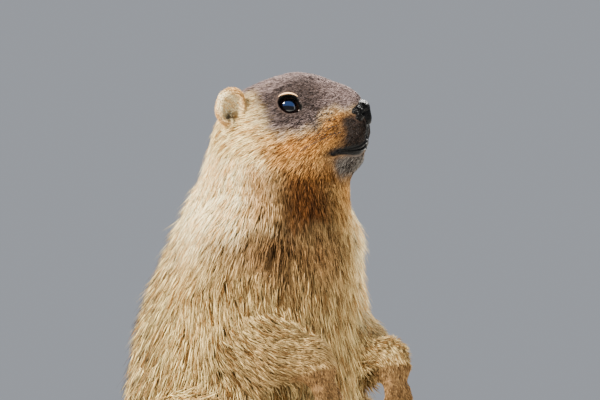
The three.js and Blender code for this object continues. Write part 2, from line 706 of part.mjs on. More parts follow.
// A bent cone that narrows to a point, for claws and locks of hair: rings of points along a curve.
function tapered(curve, steps, sides, radiusAt, flat = 1, side = new THREE.Vector3(1, 0, 0)) {
  const points = [];
  const faces = [];
  for (let i = 0; i < steps; i++) {
    const t = i / steps;
    const centre = curve.getPoint(t);
    const along = curve.getTangent(t);
    const across = side.clone().projectOnPlane(along).normalize();
    const up = new THREE.Vector3().crossVectors(along, across).normalize();
    for (let j = 0; j < sides; j++) {
      const a = (j / sides) * Math.PI * 2;
      const wide = Math.cos(a) * radiusAt(t);
      const high = Math.sin(a) * radiusAt(t) * flat;
      points.push(centre.clone().addScaledVector(across, wide).addScaledVector(up, high).toArray());
    }
  }
  const tip = points.push(curve.getPoint(1).toArray()) - 1;
  const root = points.push(curve.getPoint(0).toArray()) - 1;
  for (let j = 0; j < sides; j++) {
    const next = (j + 1) % sides;
    faces.push([root, next, j], [(steps - 1) * sides + j, (steps - 1) * sides + next, tip]);
    for (let i = 0; i < steps - 1; i++) {
      const [a, b] = [i * sides + j, i * sides + next];
      faces.push([a, b, b + sides], [a, b + sides, a + sides]);
    }
  }
  return solidOf({ points, faces });
}

// Building the pieces

const pieces = new Map();
const neckCut = { at: [0, -14, 236], normal: [0.1, -0.3, 0.95] };
const chestCut = { at: [0, 0, 196], normal: [0, -0.2, 0.98] };
const flip = (v) => v.map((a) => -a);

// The two sides of a cut, half a gap clear of its plane: the side that normal points to, then the other.
const gapFrom = ({ at: point, normal }, frame) => {
  const unit = new THREE.Vector3(...normal).normalize().toArray();
  return [
    halfSpace(add(point, unit, GAP / 2), flip(unit), frame),
    halfSpace(add(point, unit, -GAP / 2), unit, frame),
  ];
};
const [aboveNeck] = gapFrom(neckCut, bodyToHead);
const [, belowNeck] = gapFrom(neckCut);
const [aboveChest, belowChest] = gapFrom(chestCut);
const aboveFloor = halfSpace([0, 0, 0], [0, 0, -1]);

// Head: meshed finely in its own frame.
const HEAD_BOX = [[-46, -60, -72], [46, 46, 24]];
const NOSE_BOX = [[-15, -58, -29], [15, -35, -7]];
const headSolid = largest(meshed(headShape, HEAD_BOX, DETAIL.head).intersect(aboveNeck));
const eyeball = new THREE.SphereGeometry(EYE_RADIUS, 16, 10);
const eyes = eyeCentres.map((c) => geometrySolid(eyeball.clone().translate(...c)));
const noseSolid = largest(meshed(carve(0.5, nosePad, ...nostrils, cleft), NOSE_BOX, DETAIL.nose));
const eyeRoom = eyes.map((e) => grown(e, GAP));
pieces.set("nose", noseSolid);
let head = headSolid.subtract(grown(noseSolid, GAP));
for (const room of eyeRoom) head = head.subtract(room);
head = largest(head);
pieces.set("head", head);
pair((s) => {
  const side = s < 0 ? "right" : "left";
  const whole = meshed(ear(s), boxRound([earBase(s)], 20), DETAIL.ear);
  pieces.set("ear_" + side, largest(whole.subtract(grown(head, GAP))));
  pieces.set("eye_" + side, eyes[s < 0 ? 0 : 1]);
});

// Neck and torso
const coreSolid = meshed(wholeCore, [[-80, -80, -3], [80, 100, 256]], DETAIL.core);
const coreRoom = grown(coreSolid, GAP);
pieces.set("neck", largest(coreSolid.intersect(belowNeck).intersect(aboveChest)));
pieces.set("torso", largest(coreSolid.intersect(belowChest).intersect(aboveFloor)));

// A limb with a flare of coat, up to margin thick, where it leaves the trunk.
const flared = (field, k, margin) => (x, y, z) => {
  const d = field(x, y, z);
  return Math.max(smoothMin(d, trunk(x, y, z), k), d - margin);
};
const cutFrom = (solid, ...rooms) => largest(rooms.reduce((s, room) => s.subtract(room), solid));

// Claws grow from the tips of the digits, each a piece of its own.
function addClaws(name, digits, radius, owner) {
  const room = grown(owner, GAP);
  digits.forEach(({ points, tip, end }, i) => {
    const start = mixPoint(points[1], tip, 0.55);
    const over = add(mixPoint(tip, end, 0.4), add(tip, points[1], -1), 0.16);
    const line = [start, over, end].map((p) => new THREE.Vector3(...p));
    const curve = new THREE.QuadraticBezierCurve3(...line);
    const claw = tapered(curve, 4, 6, (t) => radius * (1 - 0.75 * t));
    pieces.set(name + "_" + (i + 1), cutFrom(claw, room));
  });
}
const mixPoint = (a, b, t) => a.map((v, i) => mix(v, b[i], t));

pair((s) => {
  const side = s < 0 ? "right" : "left";
  const { field: handField, digits, place } = hand(s);
  const armField = arm(s);
  const wristCut = { at: place(2, 0, 0), normal: add(place(1, 0, 0), place(0, 0, 0), -1) };
  const [handSide, armSide] = gapFrom(wristCut);
  const whole = blend(5, armField, handField);
  const armBox = boxRound(Object.values(LEG).map((j) => j.at(s)), 34);
  const foreleg = meshed(flared(whole, 18, 9), armBox, DETAIL.foreleg).intersect(armSide);
  pieces.set("foreleg_" + side, cutFrom(foreleg, coreRoom));
  const handBox = boxRound([place(0, 0, 0), ...digits.map((d) => d.tip)], 15);
  const forepaw = largest(meshed(whole, handBox, DETAIL.forepaw).intersect(handSide));
  pieces.set("forepaw_" + side, forepaw);
  addClaws("claw_fore_" + side, digits, HAND.radius * 0.5, forepaw);
});

pair((s) => {
  const side = s < 0 ? "right" : "left";
  const { field: footField, digits, place } = foot(s);
  const thighBox = boxRound([HAUNCH.thigh.centre(s)], 74);
  const footBox = boxRound([place(0, 0, 8), ...digits.map((d) => d.tip)], 22);
  const hindfoot = largest(meshed(footField, footBox, DETAIL.hindfoot).intersect(aboveFloor));
  const thigh = meshed(flared(haunch(s), 20, 10), thighBox, DETAIL.haunch).intersect(aboveFloor);
  pieces.set("haunch_" + side, cutFrom(thigh, coreRoom, grown(hindfoot, GAP)));
  pieces.set("hindfoot_" + side, cutFrom(hindfoot, coreRoom));
  addClaws("claw_hind_" + side, digits, FOOT.radius * 0.5, hindfoot);
});

// Tail: a core that lies on the floor and curls to the animal's left, with locks of hair along it.
const TAIL = { root: [0, 66, 17], steps: 7, core: 10.5, rows: 7, around: 5 };
const LOCK = { length: 33, width: 5.8, thickness: 1.7, tilt: 0.3 };
const tailPoints = (() => {
  const step = TAIL_LENGTH / TAIL.steps;
  let p = TAIL.root;
  const list = [p];
  for (let i = 1; i <= TAIL.steps; i++) {
    const heading = TAIL_BEND * (i / TAIL.steps) ** 1.3;
    const lower = i < 4 ? -1.6 : -0.2;
    p = add(p, [Math.sin(heading) * step, Math.cos(heading) * step, lower]);
    list.push(p);
  }
  return list.map((q) => new THREE.Vector3(...q));
})();
const tailCurve = new THREE.CatmullRomCurve3(tailPoints);
const tailRadius = (t) => TAIL.core * (1 - 0.55 * t ** 1.5);
let seed = 11;
const random = () => {
  seed = (seed * 16807) % 2147483647;
  return seed / 2147483647;
};
const tailPieces = [tapered(tailCurve, 10, 12, tailRadius)];
for (let row = 0; row < TAIL.rows; row++)
  for (let j = 0; j < TAIL.around; j++) {
    const t = 0.12 + (0.84 * row) / (TAIL.rows - 1);
    const angle = ((j + (row % 2) / 2 + 0.3 * random()) / TAIL.around) * 2 * Math.PI;
    const centre = tailCurve.getPoint(t);
    const along = tailCurve.getTangent(t);
    const across = new THREE.Vector3(0, 0, 1).cross(along).normalize();
    const up = new THREE.Vector3().crossVectors(along, across).normalize();
    const out = across.multiplyScalar(Math.cos(angle)).addScaledVector(up, Math.sin(angle));
    const length = LOCK.length * (0.85 + 0.3 * random());
    const point = (ahead, rise) => {
      const q = centre.clone().addScaledVector(along, ahead).addScaledVector(out, rise);
      q.z = Math.max(q.z, LOCK.thickness + 0.6);
      return q;
    };
    const skin = tailRadius(t);
    const bend = LOCK.tilt * length;
    const curve = new THREE.CatmullRomCurve3([
      point(-2, skin * 0.45),
      point(length * 0.35, skin * 0.8 + bend * 0.45),
      point(length * 0.7, skin * 0.85 + bend * 0.75),
      point(length, skin * 0.85 + bend * 0.85),
    ]);
    const wide = new THREE.Vector3().crossVectors(along, out);
    const width = (u) => LOCK.width * (0.55 + 1.5 * u - 2.05 * u * u) + 0.3;
    tailPieces.push(tapered(curve, 4, 4, width, LOCK.thickness / LOCK.width, wide));
  }
const tailUnion = tailPieces.reduce((a, b) => a.add(b));
pieces.set("tail", cutFrom(largest(tailUnion.intersect(aboveFloor)), coreRoom));

// The finished scene: a mesh for each piece, in groups placed as the real parts are
const FINISH = {
  head: ["#8b6f5c", 0.9], neck: ["#cdb184", 0.9], torso: ["#b8956a", 0.9], ear: ["#cfae7c", 0.9],
  eye: ["#0d0b0b", 0.1], nose: ["#221d1d", 0.45], foreleg: ["#c7a677", 0.9], forepaw: ["#7a6247", 0.85],
  haunch: ["#bf9d6c", 0.9], hindfoot: ["#8a6d4c", 0.85], tail: ["#8f6d47", 0.95], claw: ["#3a302a", 0.4],
};
const IN_HEAD = ["nose", "head", "ear", "eye"];

function meshOf(name, solid) {
  const geometry = geometryOf(solid);
  geometry.computeVertexNormals();
  const [color, roughness] = FINISH[name.split("_")[0]];
  const mesh = new THREE.Mesh(geometry, new THREE.MeshStandardMaterial({ color, roughness, metalness: 0 }));
  mesh.name = name;
  return mesh;
}

const marmot = new THREE.Group();
marmot.add(headGroup);
for (const [name, solid] of pieces) {
  const owner = IN_HEAD.includes(name.split("_")[0]) ? headGroup : marmot;
  owner.add(meshOf(name, solid));
}
export default marmot;
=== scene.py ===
"""A young steppe marmot sitting upright: its skin, coat, face, claws and whiskers, over the packed model."""

import json
import math

import bmesh
import bpy
import numpy as np
from bpy.props import FloatProperty, FloatVectorProperty, IntProperty, PointerProperty
from mathutils import Matrix, Vector
from mathutils.bvhtree import BVHTree
from mathutils.kdtree import KDTree

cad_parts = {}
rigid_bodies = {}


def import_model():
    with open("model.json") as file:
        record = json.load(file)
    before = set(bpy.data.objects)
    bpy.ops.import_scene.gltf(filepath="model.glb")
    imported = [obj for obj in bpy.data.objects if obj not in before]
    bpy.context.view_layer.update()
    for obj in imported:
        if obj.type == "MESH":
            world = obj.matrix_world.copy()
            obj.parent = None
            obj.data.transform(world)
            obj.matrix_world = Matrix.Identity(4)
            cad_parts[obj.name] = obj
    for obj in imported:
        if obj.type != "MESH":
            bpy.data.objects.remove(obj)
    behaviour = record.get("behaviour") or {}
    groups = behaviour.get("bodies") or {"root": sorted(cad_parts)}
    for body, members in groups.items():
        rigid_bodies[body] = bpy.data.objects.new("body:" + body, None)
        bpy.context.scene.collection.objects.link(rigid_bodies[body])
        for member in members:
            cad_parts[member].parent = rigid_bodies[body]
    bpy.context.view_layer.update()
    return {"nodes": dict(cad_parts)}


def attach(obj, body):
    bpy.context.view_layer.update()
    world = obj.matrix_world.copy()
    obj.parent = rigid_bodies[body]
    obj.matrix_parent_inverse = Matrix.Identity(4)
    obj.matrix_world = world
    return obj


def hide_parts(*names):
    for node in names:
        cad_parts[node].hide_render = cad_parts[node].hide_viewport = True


bl_info = {
    "name": "Sitting Steppe Marmot",
    "version": (1, 0, 0),
    "blender": (4, 5, 0),
    "location": "3D View > Sidebar > Marmot",
    "description": "Gives the packed marmot its skin, coat, eyes, nose, mouth, claws and whiskers",
    "category": "Object",
}

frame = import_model()
MM = 0.001

# The head's own frame, as the model has it: u ahead of the neck's axis, v to the animal's left, w up
HEAD_PIVOT = np.array([0, -15, 265]) * MM
HEAD_TURN = math.radians(28)
HEAD_TILT = math.radians(15)
HEAD_AXES = np.array(Matrix.Rotation(HEAD_TURN, 3, "Z") @ Matrix.Rotation(-HEAD_TILT, 3, "X"))

# Places in the head's frame, in millimetres
EYE = {
    "centre": (10.8, 14.8, -5.6),
    "axis": (0.3, 0.93, 0.12),
    "half_width": 7.0,
    "half_height": 5.3,
    "radius": 8.0,
}
EYE_AHEAD = (1, 0, -0.75)
EYE_POINTS = {"front": 0.6, "rear": 0.12}
EYEBALL = {"width": 1.08, "depth": 0.93, "ahead": 0.1}
MOUTH = [(23.5, 15, -37.5), (34.5, 12.5, -37), (43, 8, -38.4), (47, 0, -36.8)]
MUZZLE = (42, 0, -20)
EAR = {"base": (-19, 29.5, 3), "half_length": 8.8, "half_height": 11.2}

# Places in the body's frame, in millimetres
ARM = [(33, -20, 186), (42, -17, 160), (47, -26, 135), (43, -52, 121), (34, -75, 116), (32, -84, 88)]
THIGH = [(50, 30, 80), (56, -20, 88), (62, -58, 62), (60, -40, 30), (56, -24, 10)]
FOOT_SPLAY = math.radians(11)
TAIL = {"root": (0, 60, 18), "length": 108, "bend": 0.45, "steps": 40, "radius": (7.5, 3.2)}

REGIONS = ("head", "ear", "neck", "torso", "foreleg", "forepaw", "haunch", "hindfoot", "tail", "eye", "nose")
ON_HEAD = ("head", "ear", "eye", "nose")

# Angles round the body from its front towards its left, in radians, about which the dark fur lies, and the
# height in millimetres of the fold between neck and chest. The dark mark under the chin is centred towards the
# animal's right, because it holds the painted shadow of the chin
CHEST_MIDDLE = -0.45
THROAT_AND_SHADOW_MIDDLE = -0.3
FOLD = 196

# The least height above the floor of the skin and of the tufts
SKIN_CLEAR = 0.2 * MM
TUFT_CLEAR = 0.3 * MM


def linear(*rgb):
    """A colour given as 0 to 255 on screen, as light."""
    return tuple((c / 255 / 12.92) if c <= 10 else ((c / 255 + 0.055) / 1.055) ** 2.4 for c in rgb)


# Each zone of the coat: where it is, its lighter hairs and its deeper ones
ZONES = {
    "straw": ("Back, flanks and shoulders", (250, 226, 158), (146, 104, 52)),
    "cream": ("Sides of the neck and rear of the cheeks", (255, 248, 206), (238, 192, 122)),
    "chest": ("Front of the chest and belly", (164, 120, 72), (27, 12, 4)),
    # Under the chin: the fur's rusty brown made far darker, as painted shadow of the head
    "throat": ("Under the chin", (70, 28, 5), (13, 4, 1)),
    "cheek": ("Cheeks and whisker pads", (214, 154, 80), (82, 42, 8)),
    "cap": ("Crown, forehead and round the eyes", (148, 129, 127), (17, 11, 11)),
    "lip": ("Front of the lips and round the nose", (50, 44, 42), (6, 5, 5)),
    "brown": ("Paws and tail", (144, 98, 56), (50, 31, 18)),
    "chin": ("Chin", (120, 120, 118), (20, 20, 20)),
}


def colour_property(name, description, rgb):
    return FloatVectorProperty(
        name=name, description=description, default=linear(*rgb), min=0, max=1, size=3, subtype="COLOR"
    )


def zone_properties():
    """A light and a deep colour for each zone of the coat, and the colours that all zones share."""
    made = {}
    for zone, (where, light, deep) in ZONES.items():
        made[zone + "_light"] = colour_property(zone.title() + " Light", where + ": the lighter hairs", light)
        made[zone + "_deep"] = colour_property(zone.title() + " Deep", where + ": the deeper hairs", deep)
    made["underfur"] = colour_property("Underfur", "Colour at the roots of the hair", (70, 50, 36))
    made["dark_tip"] = colour_property(
        "Dark Tips", "Tips of the guard hairs on the back and tail", (58, 46, 40)
    )
    made["bare_skin"] = colour_property("Bare Skin", "Lips, eyelid rims, nose and pads", (4, 4, 4))
    return made


CoatColours = type(
    "CoatColours",
    (bpy.types.PropertyGroup,),
    {"__doc__": "Colours of the hair and the bare skin", "__annotations__": zone_properties()},
)


def number(name, description, default, **limits):
    """A size, share or angle that a user may change."""
    return FloatProperty(name=name, description=description, default=default, **limits)


class CoatSizes(bpy.types.PropertyGroup):
    """How the skin and the hair are made"""

    voxel: number(
        "Skin Grain", "Size of the skin's faces", 1.0 * MM, min=0.5 * MM, unit="LENGTH", precision=4
    )
    skin_share: number("Skin Faces Kept", "Share left after thinning", 0.4, min=0.05, max=1, subtype="FACTOR")
    density: number("Density", "Number of tufts against the usual", 1.0, min=0.05, max=2)
    length: number("Length", "Length of the tufts against the usual", 1.0, min=0.3, max=2)
    seed: IntProperty(name="Seed", description="Start of the random draws", default=7, min=0)


class StudioSizes(bpy.types.PropertyGroup):
    """Where the camera stands and how the studio is lit"""

    azimuth: number("Azimuth", "Camera's way, from the front to the left", math.radians(-50), subtype="ANGLE")
    elevation: number("Elevation", "Camera's height as an angle", math.radians(0.5), subtype="ANGLE")
    distance: number("Distance", "Camera to the animal", 5.0, min=1, unit="LENGTH")
    picture_width: number("Picture Width", "Width of the view at the animal", 0.348, min=0.05, unit="LENGTH")
    aim_right: number("Aim Right", "Middle of the view, right of the body's axis", 0.0264, unit="LENGTH")
    aim_height: number("Aim Height", "Middle of the view, above the floor", 0.2093, unit="LENGTH")
    key_power: number("Key Light", "Power of the main light", 290, min=0, unit="POWER")
    sky: number("Sky", "Strength of the light all round", 0.4, min=0)
    floor_radius: number("Floor", "Radius of the studio floor", 2.3, min=0.5, unit="LENGTH")


# Shader maths


class Wire:
    """A shader socket that can be used in expressions."""

    def __init__(self, graph, socket):
        self.graph, self.socket = graph, socket

    def __add__(self, other):
        return self.graph.maths("ADD", self, other)

    __radd__ = __add__

    def __mul__(self, other):
        return self.graph.maths("MULTIPLY", self, other)

    __rmul__ = __mul__

    def __sub__(self, other):
        return self.graph.maths("SUBTRACT", self, other)

    def __rsub__(self, other):
        return self.graph.maths("SUBTRACT", other, self)

    def step(self, low, high):
        """Goes smoothly from 0 at low to 1 at high."""
        values = {"Value": self, "From Min": low, "From Max": high}
        return self.graph.node("MapRange", values, interpolation_type="SMOOTHSTEP")


class Graph:
    """The nodes of one material, with the shader that they feed."""

    def __init__(self, name, **fixed):
        self.material = bpy.data.materials.new(name)
        self.material.use_nodes = True
        self.tree = self.material.node_tree
        self.shader = self.tree.nodes["Principled BSDF"]
        for socket, value in fixed.items():
            self.shader.inputs[socket.replace("_", " ")].default_value = value

    def feed(self, socket, value):
        """Links or sets a socket; a colour may come without its fourth number."""
        if isinstance(value, Wire):
            self.tree.links.new(value.socket, socket)
        else:
            socket.default_value = (*value, 1)[:4] if socket.type == "RGBA" else value

    def node(self, kind, values=None, output=0, **settings):
        made = self.tree.nodes.new("ShaderNode" + kind)
        for name, value in settings.items():
            setattr(made, name, value)
        for name, value in (values or {}).items():
            self.feed(made.inputs[name], value)
        return Wire(self, made.outputs[output])

    def maths(self, operation, *values):
        return self.node("Math", dict(enumerate(values)), operation=operation)

    def mix(self, share, first, second):
        """The colour that is first where share is 0 and second where it is 1."""
        return self.node("Mix", {0: share, 6: first, 7: second}, output=2, data_type="RGBA")

    def tinted(self, colour, factor):
        """A colour made lighter or darker by a factor."""
        grey = self.node("CombineColor", {0: factor, 1: factor, 2: factor})
        return self.node(
            "Mix", {0: 1.0, 6: colour, 7: grey}, output=2, data_type="RGBA", blend_type="MULTIPLY"
        )

    def channels(self, name):
        """The four parts of an attribute of the mesh."""
        read = self.tree.nodes.new("ShaderNodeAttribute")
        read.attribute_name = name
        parts = self.tree.nodes.new("ShaderNodeSeparateColor")
        self.tree.links.new(read.outputs["Color"], parts.inputs[0])
        return [Wire(self, parts.outputs[i]) for i in range(3)] + [Wire(self, read.outputs["Alpha"])]

    def place(self):
        """Where a point lies on the object."""
        return self.node("TexCoord", output=3)

    def noise(self, scale, detail=2.0):
        return self.node("TexNoise", {"Vector": self.place(), "Scale": scale, "Detail": detail})

    def done(self, colour, roughness, bump=None, bump_size=None):
        self.feed(self.shader.inputs["Base Color"], colour)
        self.feed(self.shader.inputs["Roughness"], roughness)
        if bump is not None:
            self.feed(
                self.shader.inputs["Normal"], self.node("Bump", {"Height": bump, "Distance": bump_size})
            )
        return self.material


def settings():
    scene = bpy.context.scene
    return scene.marmot_colours, scene.marmot_coat, scene.marmot_studio


def zone_colour(graph, which):
    """The colour of one kind of hair, light or deep, mixed by the zones' marks."""
    colours = settings()[0]
    base, *others = ZONES
    colour = getattr(colours, f"{base}_{which}")
    for zone, mark in zip(others, graph.channels("MarksA") + graph.channels("MarksB")):
        colour = graph.mix(mark, colour, getattr(colours, f"{zone}_{which}"))
    return colour


def hair_material():
    """Hair: each tuft takes its own tone, darker at the root, and some have dark tips."""
    colours = settings()[0]
    graph = Graph("marmot_hair", Specular_IOR_Level=0.1)
    along, tone, dark_tip, shade = graph.channels("Hair")
    hair = graph.mix(tone, zone_colour(graph, "light"), zone_colour(graph, "deep"))
    streaks = graph.noise(900.0, 1.0)
    hair = graph.tinted(hair, 0.66 + 0.5 * shade + 0.16 * streaks)
    # Darker towards the root: painted shade deep in the coat, between the hairs
    hair = graph.tinted(hair, 0.5 + 0.6 * along.step(0.05, 0.85))
    root = graph.mix(0.5, hair, colours.underfur)
    hair = graph.mix(along.step(0.0, 0.42), root, hair)
    hair = graph.mix(dark_tip * along.step(0.42, 0.84), hair, colours.dark_tip)
    return graph.done(hair, 0.62 + 0.16 * shade)


def skin_material():
    """Skin with its short underfur: the coat's own marks, darker, with bare skin where no hair grows."""
    colours = settings()[0]
    graph = Graph("marmot_skin", Specular_IOR_Level=0.12)
    bare = graph.channels("Hair")[0]
    fine = graph.noise(1800.0, 3.0)
    broad = graph.noise(160.0, 3.0)
    fur = graph.mix(0.35 + 0.4 * broad, zone_colour(graph, "light"), zone_colour(graph, "deep"))
    fur = graph.tinted(graph.mix(0.35, fur, colours.underfur), 0.55 + 0.6 * fine)
    skin = graph.tinted(colours.bare_skin, 0.8 + 0.5 * fine)
    return graph.done(graph.mix(bare, fur, skin), 0.85 - 0.35 * bare, fine + broad, 0.3 * MM)


def bare_material(name, colour, roughness, grain=2600.0, bump=0.12 * MM, **fixed):
    """Bare, finely grained skin, horn or lip."""
    graph = Graph(name, **fixed)
    cells = graph.node("TexVoronoi", {"Vector": graph.place(), "Scale": grain})
    broad = graph.noise(260.0, 3.0)
    tone = graph.tinted(colour, 0.7 + 0.6 * broad)
    return graph.done(tone, roughness + 0.2 * (broad - 0.5), cells + 0.5 * broad, bump)


def eye_material(centre, axis):
    """Dark brown iris round a black pupil, under a wet, clear surface."""
    graph = Graph("marmot_eye", IOR=1.45, Specular_IOR_Level=0.6)
    from_centre = graph.node("VectorMath", {0: graph.place(), 1: tuple(centre)}, operation="SUBTRACT")
    outward = graph.node("VectorMath", {0: from_centre}, operation="NORMALIZE")
    facing = graph.node("VectorMath", {0: outward, 1: tuple(axis)}, output=1, operation="DOT_PRODUCT")
    fibres = graph.noise(700.0, 4.0)
    iris = graph.mix(fibres, linear(16, 9, 6), linear(34, 20, 13))
    ball = graph.mix(facing.step(0.55, 0.62), linear(9, 8, 8), iris)
    pupil = facing.step(0.865, 0.885)
    return graph.done(graph.mix(pupil, ball, linear(3, 3, 4)), 0.03 + 0.02 * fibres)


# Arrays


def read(items, name, width, kind=np.float32):
    """An attribute of a mesh's points, loops or faces, as an array."""
    flat = np.empty(len(items) * width, kind)
    items.foreach_get(name, flat)
    return flat.reshape(-1, width) if width > 1 else flat


def unit(vectors):
    return vectors / np.maximum(np.linalg.norm(vectors, axis=-1, keepdims=True), 1e-12)


def ease(low, high, x):
    """Goes smoothly from 0 at low to 1 at high; low may be the larger."""
    t = np.clip((x - low) / (high - low), 0, 1)
    return t * t * (3 - 2 * t)


def to_head(points):
    """Points in the head's frame, in millimetres, as ahead, left and up."""
    local = (points - HEAD_PIVOT) @ HEAD_AXES / MM
    return np.stack([-local[:, 1], local[:, 0], local[:, 2]], axis=1)


def head_vector(u, v, w):
    """A direction in the head's frame, in the body's."""
    return np.stack([v, -u, w], axis=-1) @ HEAD_AXES.T


def from_head(u, v, w):
    return head_vector(np.float64(u), np.float64(v), np.float64(w)) * MM + HEAD_PIVOT


def smooth_line(points, count):
    """Points evenly spread along a smooth line through a few given ones."""
    points = np.array(points, float)
    padded = np.vstack([2 * points[0] - points[1], points, 2 * points[-1] - points[-2]])
    found = []
    for t in np.linspace(0, len(points) - 1, count):
        i = min(int(t), len(points) - 2)
        a, b, c, d = padded[i:i + 4]
        s = t - i
        found.append(
            0.5 * (
                2 * b
                + (c - a) * s
                + (2 * a - 5 * b + 4 * c - d) * s ** 2
                + (3 * b - a - 3 * c + d) * s ** 3
            )
        )
    return np.array(found)


def tail_line(count):
    """The tail's middle line along the floor, bending to the animal's left."""
    step = TAIL["length"] / 7
    p = np.array(TAIL["root"], float)
    line = [p]
    for i in range(1, 8):
        heading = TAIL["bend"] * (i / 7) ** 1.3
        p = p + [math.sin(heading) * step, math.cos(heading) * step, -1.6 if i < 4 else -0.2]
        line.append(p)
    return smooth_line(line, count) * MM


def along_tail(points):
    return along_line(points, tail_line(20))


def along_line(points, line):
    """For each point, the nearest place on a line: its share of the way, its distance and direction."""
    steps = np.diff(line, axis=0)
    best, share, way = np.full(len(points), np.inf), np.zeros(len(points)), np.zeros((len(points), 3))
    for i, (start, step) in enumerate(zip(line, steps)):
        t = np.clip((points - start) @ step / (step @ step), 0, 1)
        distance = np.linalg.norm(points - start - t[:, None] * step, axis=1)
        nearer = distance < best
        best[nearer] = distance[nearer]
        share[nearer] = (i + t[nearer]) / len(steps)
        way[nearer] = step
    return share, best, unit(way)


def mirrored(points, side):
    """Points that are given for the animal's left, on either side."""
    return np.array(points, float) * [side, 1, 1]


class Surface:
    """A closed surface as arrays, which can be smoothed and pushed in."""

    def __init__(self, mesh):
        self.points = read(mesh.vertices, "co", 3).astype(float)
        self.edges = read(mesh.edges, "vertices", 2, np.int32)
        mesh.calc_loop_triangles()
        self.triangles = read(mesh.loop_triangles, "vertices", 3, np.int32)
        self.neighbours = np.maximum(np.bincount(self.edges.ravel(), minlength=len(self.points)), 1)[:, None]

    def gathered(self, index, values):
        """For each point, the sum of the values that belong to it."""
        return np.stack([np.bincount(index, column, len(self.points)) for column in values.T], axis=1)

    def average(self, values):
        a, b = self.edges.T
        return (self.gathered(a, values[b]) + self.gathered(b, values[a])) / self.neighbours

    def smoothed(self, values, times, share=0.5):
        for _ in range(times):
            values = values + share * (self.average(values) - values)
        return values

    def normals(self):
        a, b, c = (self.points[self.triangles[:, i]] for i in range(3))
        turned = np.cross(b - a, c - a)
        return unit(sum(self.gathered(self.triangles[:, i], turned) for i in range(3)))


def among(regions, *names):
    """Which points lie in any of these regions."""
    return np.isin(regions, [REGIONS.index(name) for name in names])


def mesh_of(made, name):
    """The mesh of a bmesh, which is then freed."""
    mesh = bpy.data.meshes.new(name)
    made.to_mesh(mesh)
    made.free()
    return mesh


def added(name, data):
    """A new object in the scene."""
    made = bpy.data.objects.new(name, data)
    bpy.context.scene.collection.objects.link(made)
    return made


def mesh_object(name, mesh, material):
    mesh.name = name
    mesh.materials.clear()
    mesh.materials.append(material)
    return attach(added(name, mesh), "root")


def finished(source):
    """The mesh of an object with its modifiers applied; the object is then removed."""
    graph = bpy.context.evaluated_depsgraph_get()
    mesh = bpy.data.meshes.new_from_object(source.evaluated_get(graph))
    data = source.data
    bpy.data.objects.remove(source)
    if data.users == 0 and isinstance(data, bpy.types.Mesh):
        bpy.data.meshes.remove(data)
    return mesh


def scratch(name, mesh, **modifiers):
    """An object that is only needed to apply modifiers to its mesh."""
    made = added(name, mesh)
    for kind, values in modifiers.items():
        modifier = made.modifiers.new(kind, kind)
        for key, value in values.items():
            setattr(modifier, key, value)
    return made


def node_copies(names, swell=0.0):
    """The solids of these nodes in one bmesh, each a little swollen so that touching ones meet."""
    made = bmesh.new()
    for name in names:
        made.from_mesh(frame["nodes"][name].data)
    bmesh.ops.remove_doubles(made, verts=made.verts, dist=1e-6)
    made.normal_update()
    for vert in made.verts:
        vert.co += vert.normal * swell
    return made


def node_names(*kinds):
    return [name for name in frame["nodes"] if name.split("_")[0] in kinds]


# What lies where on the body


def nearest_regions(points):
    """For each point, the region of the nearest solid."""
    corners, faces, regions = [], [], []
    for name, node in frame["nodes"].items():
        kind = name.split("_")[0]
        if kind not in REGIONS:
            continue
        node.data.calc_loop_triangles()
        start = len(corners)
        corners += [v.co.copy() for v in node.data.vertices]
        found = [[start + i for i in t.vertices] for t in node.data.loop_triangles]
        faces += found
        regions += [REGIONS.index(kind)] * len(found)
    tree = BVHTree.FromPolygons(corners, faces)
    return np.array([regions[tree.find_nearest(Vector(p))[2]] for p in points])


def eye_place(head_points):
    """Where points lie round the nearer eye's opening: the distance, 1 at its edge, and how far up."""
    found, height = np.full(len(head_points), 9.0), np.zeros(len(head_points))
    for side in (-1, 1):
        centre = np.array(EYE["centre"]) * [1, side, 1]
        axis, ahead, up = eye_axes(side)
        d = head_points - centre
        a = d @ ahead / EYE["half_width"]
        b = d @ up / EYE["half_height"] * (
            1 + np.where(a > 0, EYE_POINTS["front"], EYE_POINTS["rear"]) * a * a
        )
        here = (d @ axis > 0) & (np.hypot(a, b) < found)
        found[here], height[here] = np.hypot(a, b)[here], b[here]
    return found, height


def eye_axes(side):
    """An eye's directions in the head's frame: out, ahead along its opening, and up."""
    axis = unit(np.array(EYE["axis"]) * [1, side, 1])
    ahead = np.array(EYE_AHEAD, float)
    ahead = unit(ahead - axis * (ahead @ axis))
    up = np.cross(axis, ahead)
    return axis, ahead, up * np.sign(up[2])


def mouth_line(count=41):
    """The line of the mouth from the right corner round the front to the left one, in the head's frame."""
    left = MOUTH[:-1]
    right = [(u, -v, w) for u, v, w in left]
    return smooth_line([*right, MOUTH[-1], *left[::-1]], count)


def by_region(regions, values):
    """For each point, the value that belongs to its region."""
    found = np.zeros(np.shape(values["head"]))
    for name in REGIONS:
        here = among(regions, name)
        found[here] = np.broadcast_to(values[name], found.shape)[here]
    return found


def wrist_distance(points):
    """How far each point is from the nearer wrist, in millimetres."""
    return np.minimum(*[np.linalg.norm(points / MM - mirrored(ARM[-2], s), axis=1) for s in (-1, 1)])


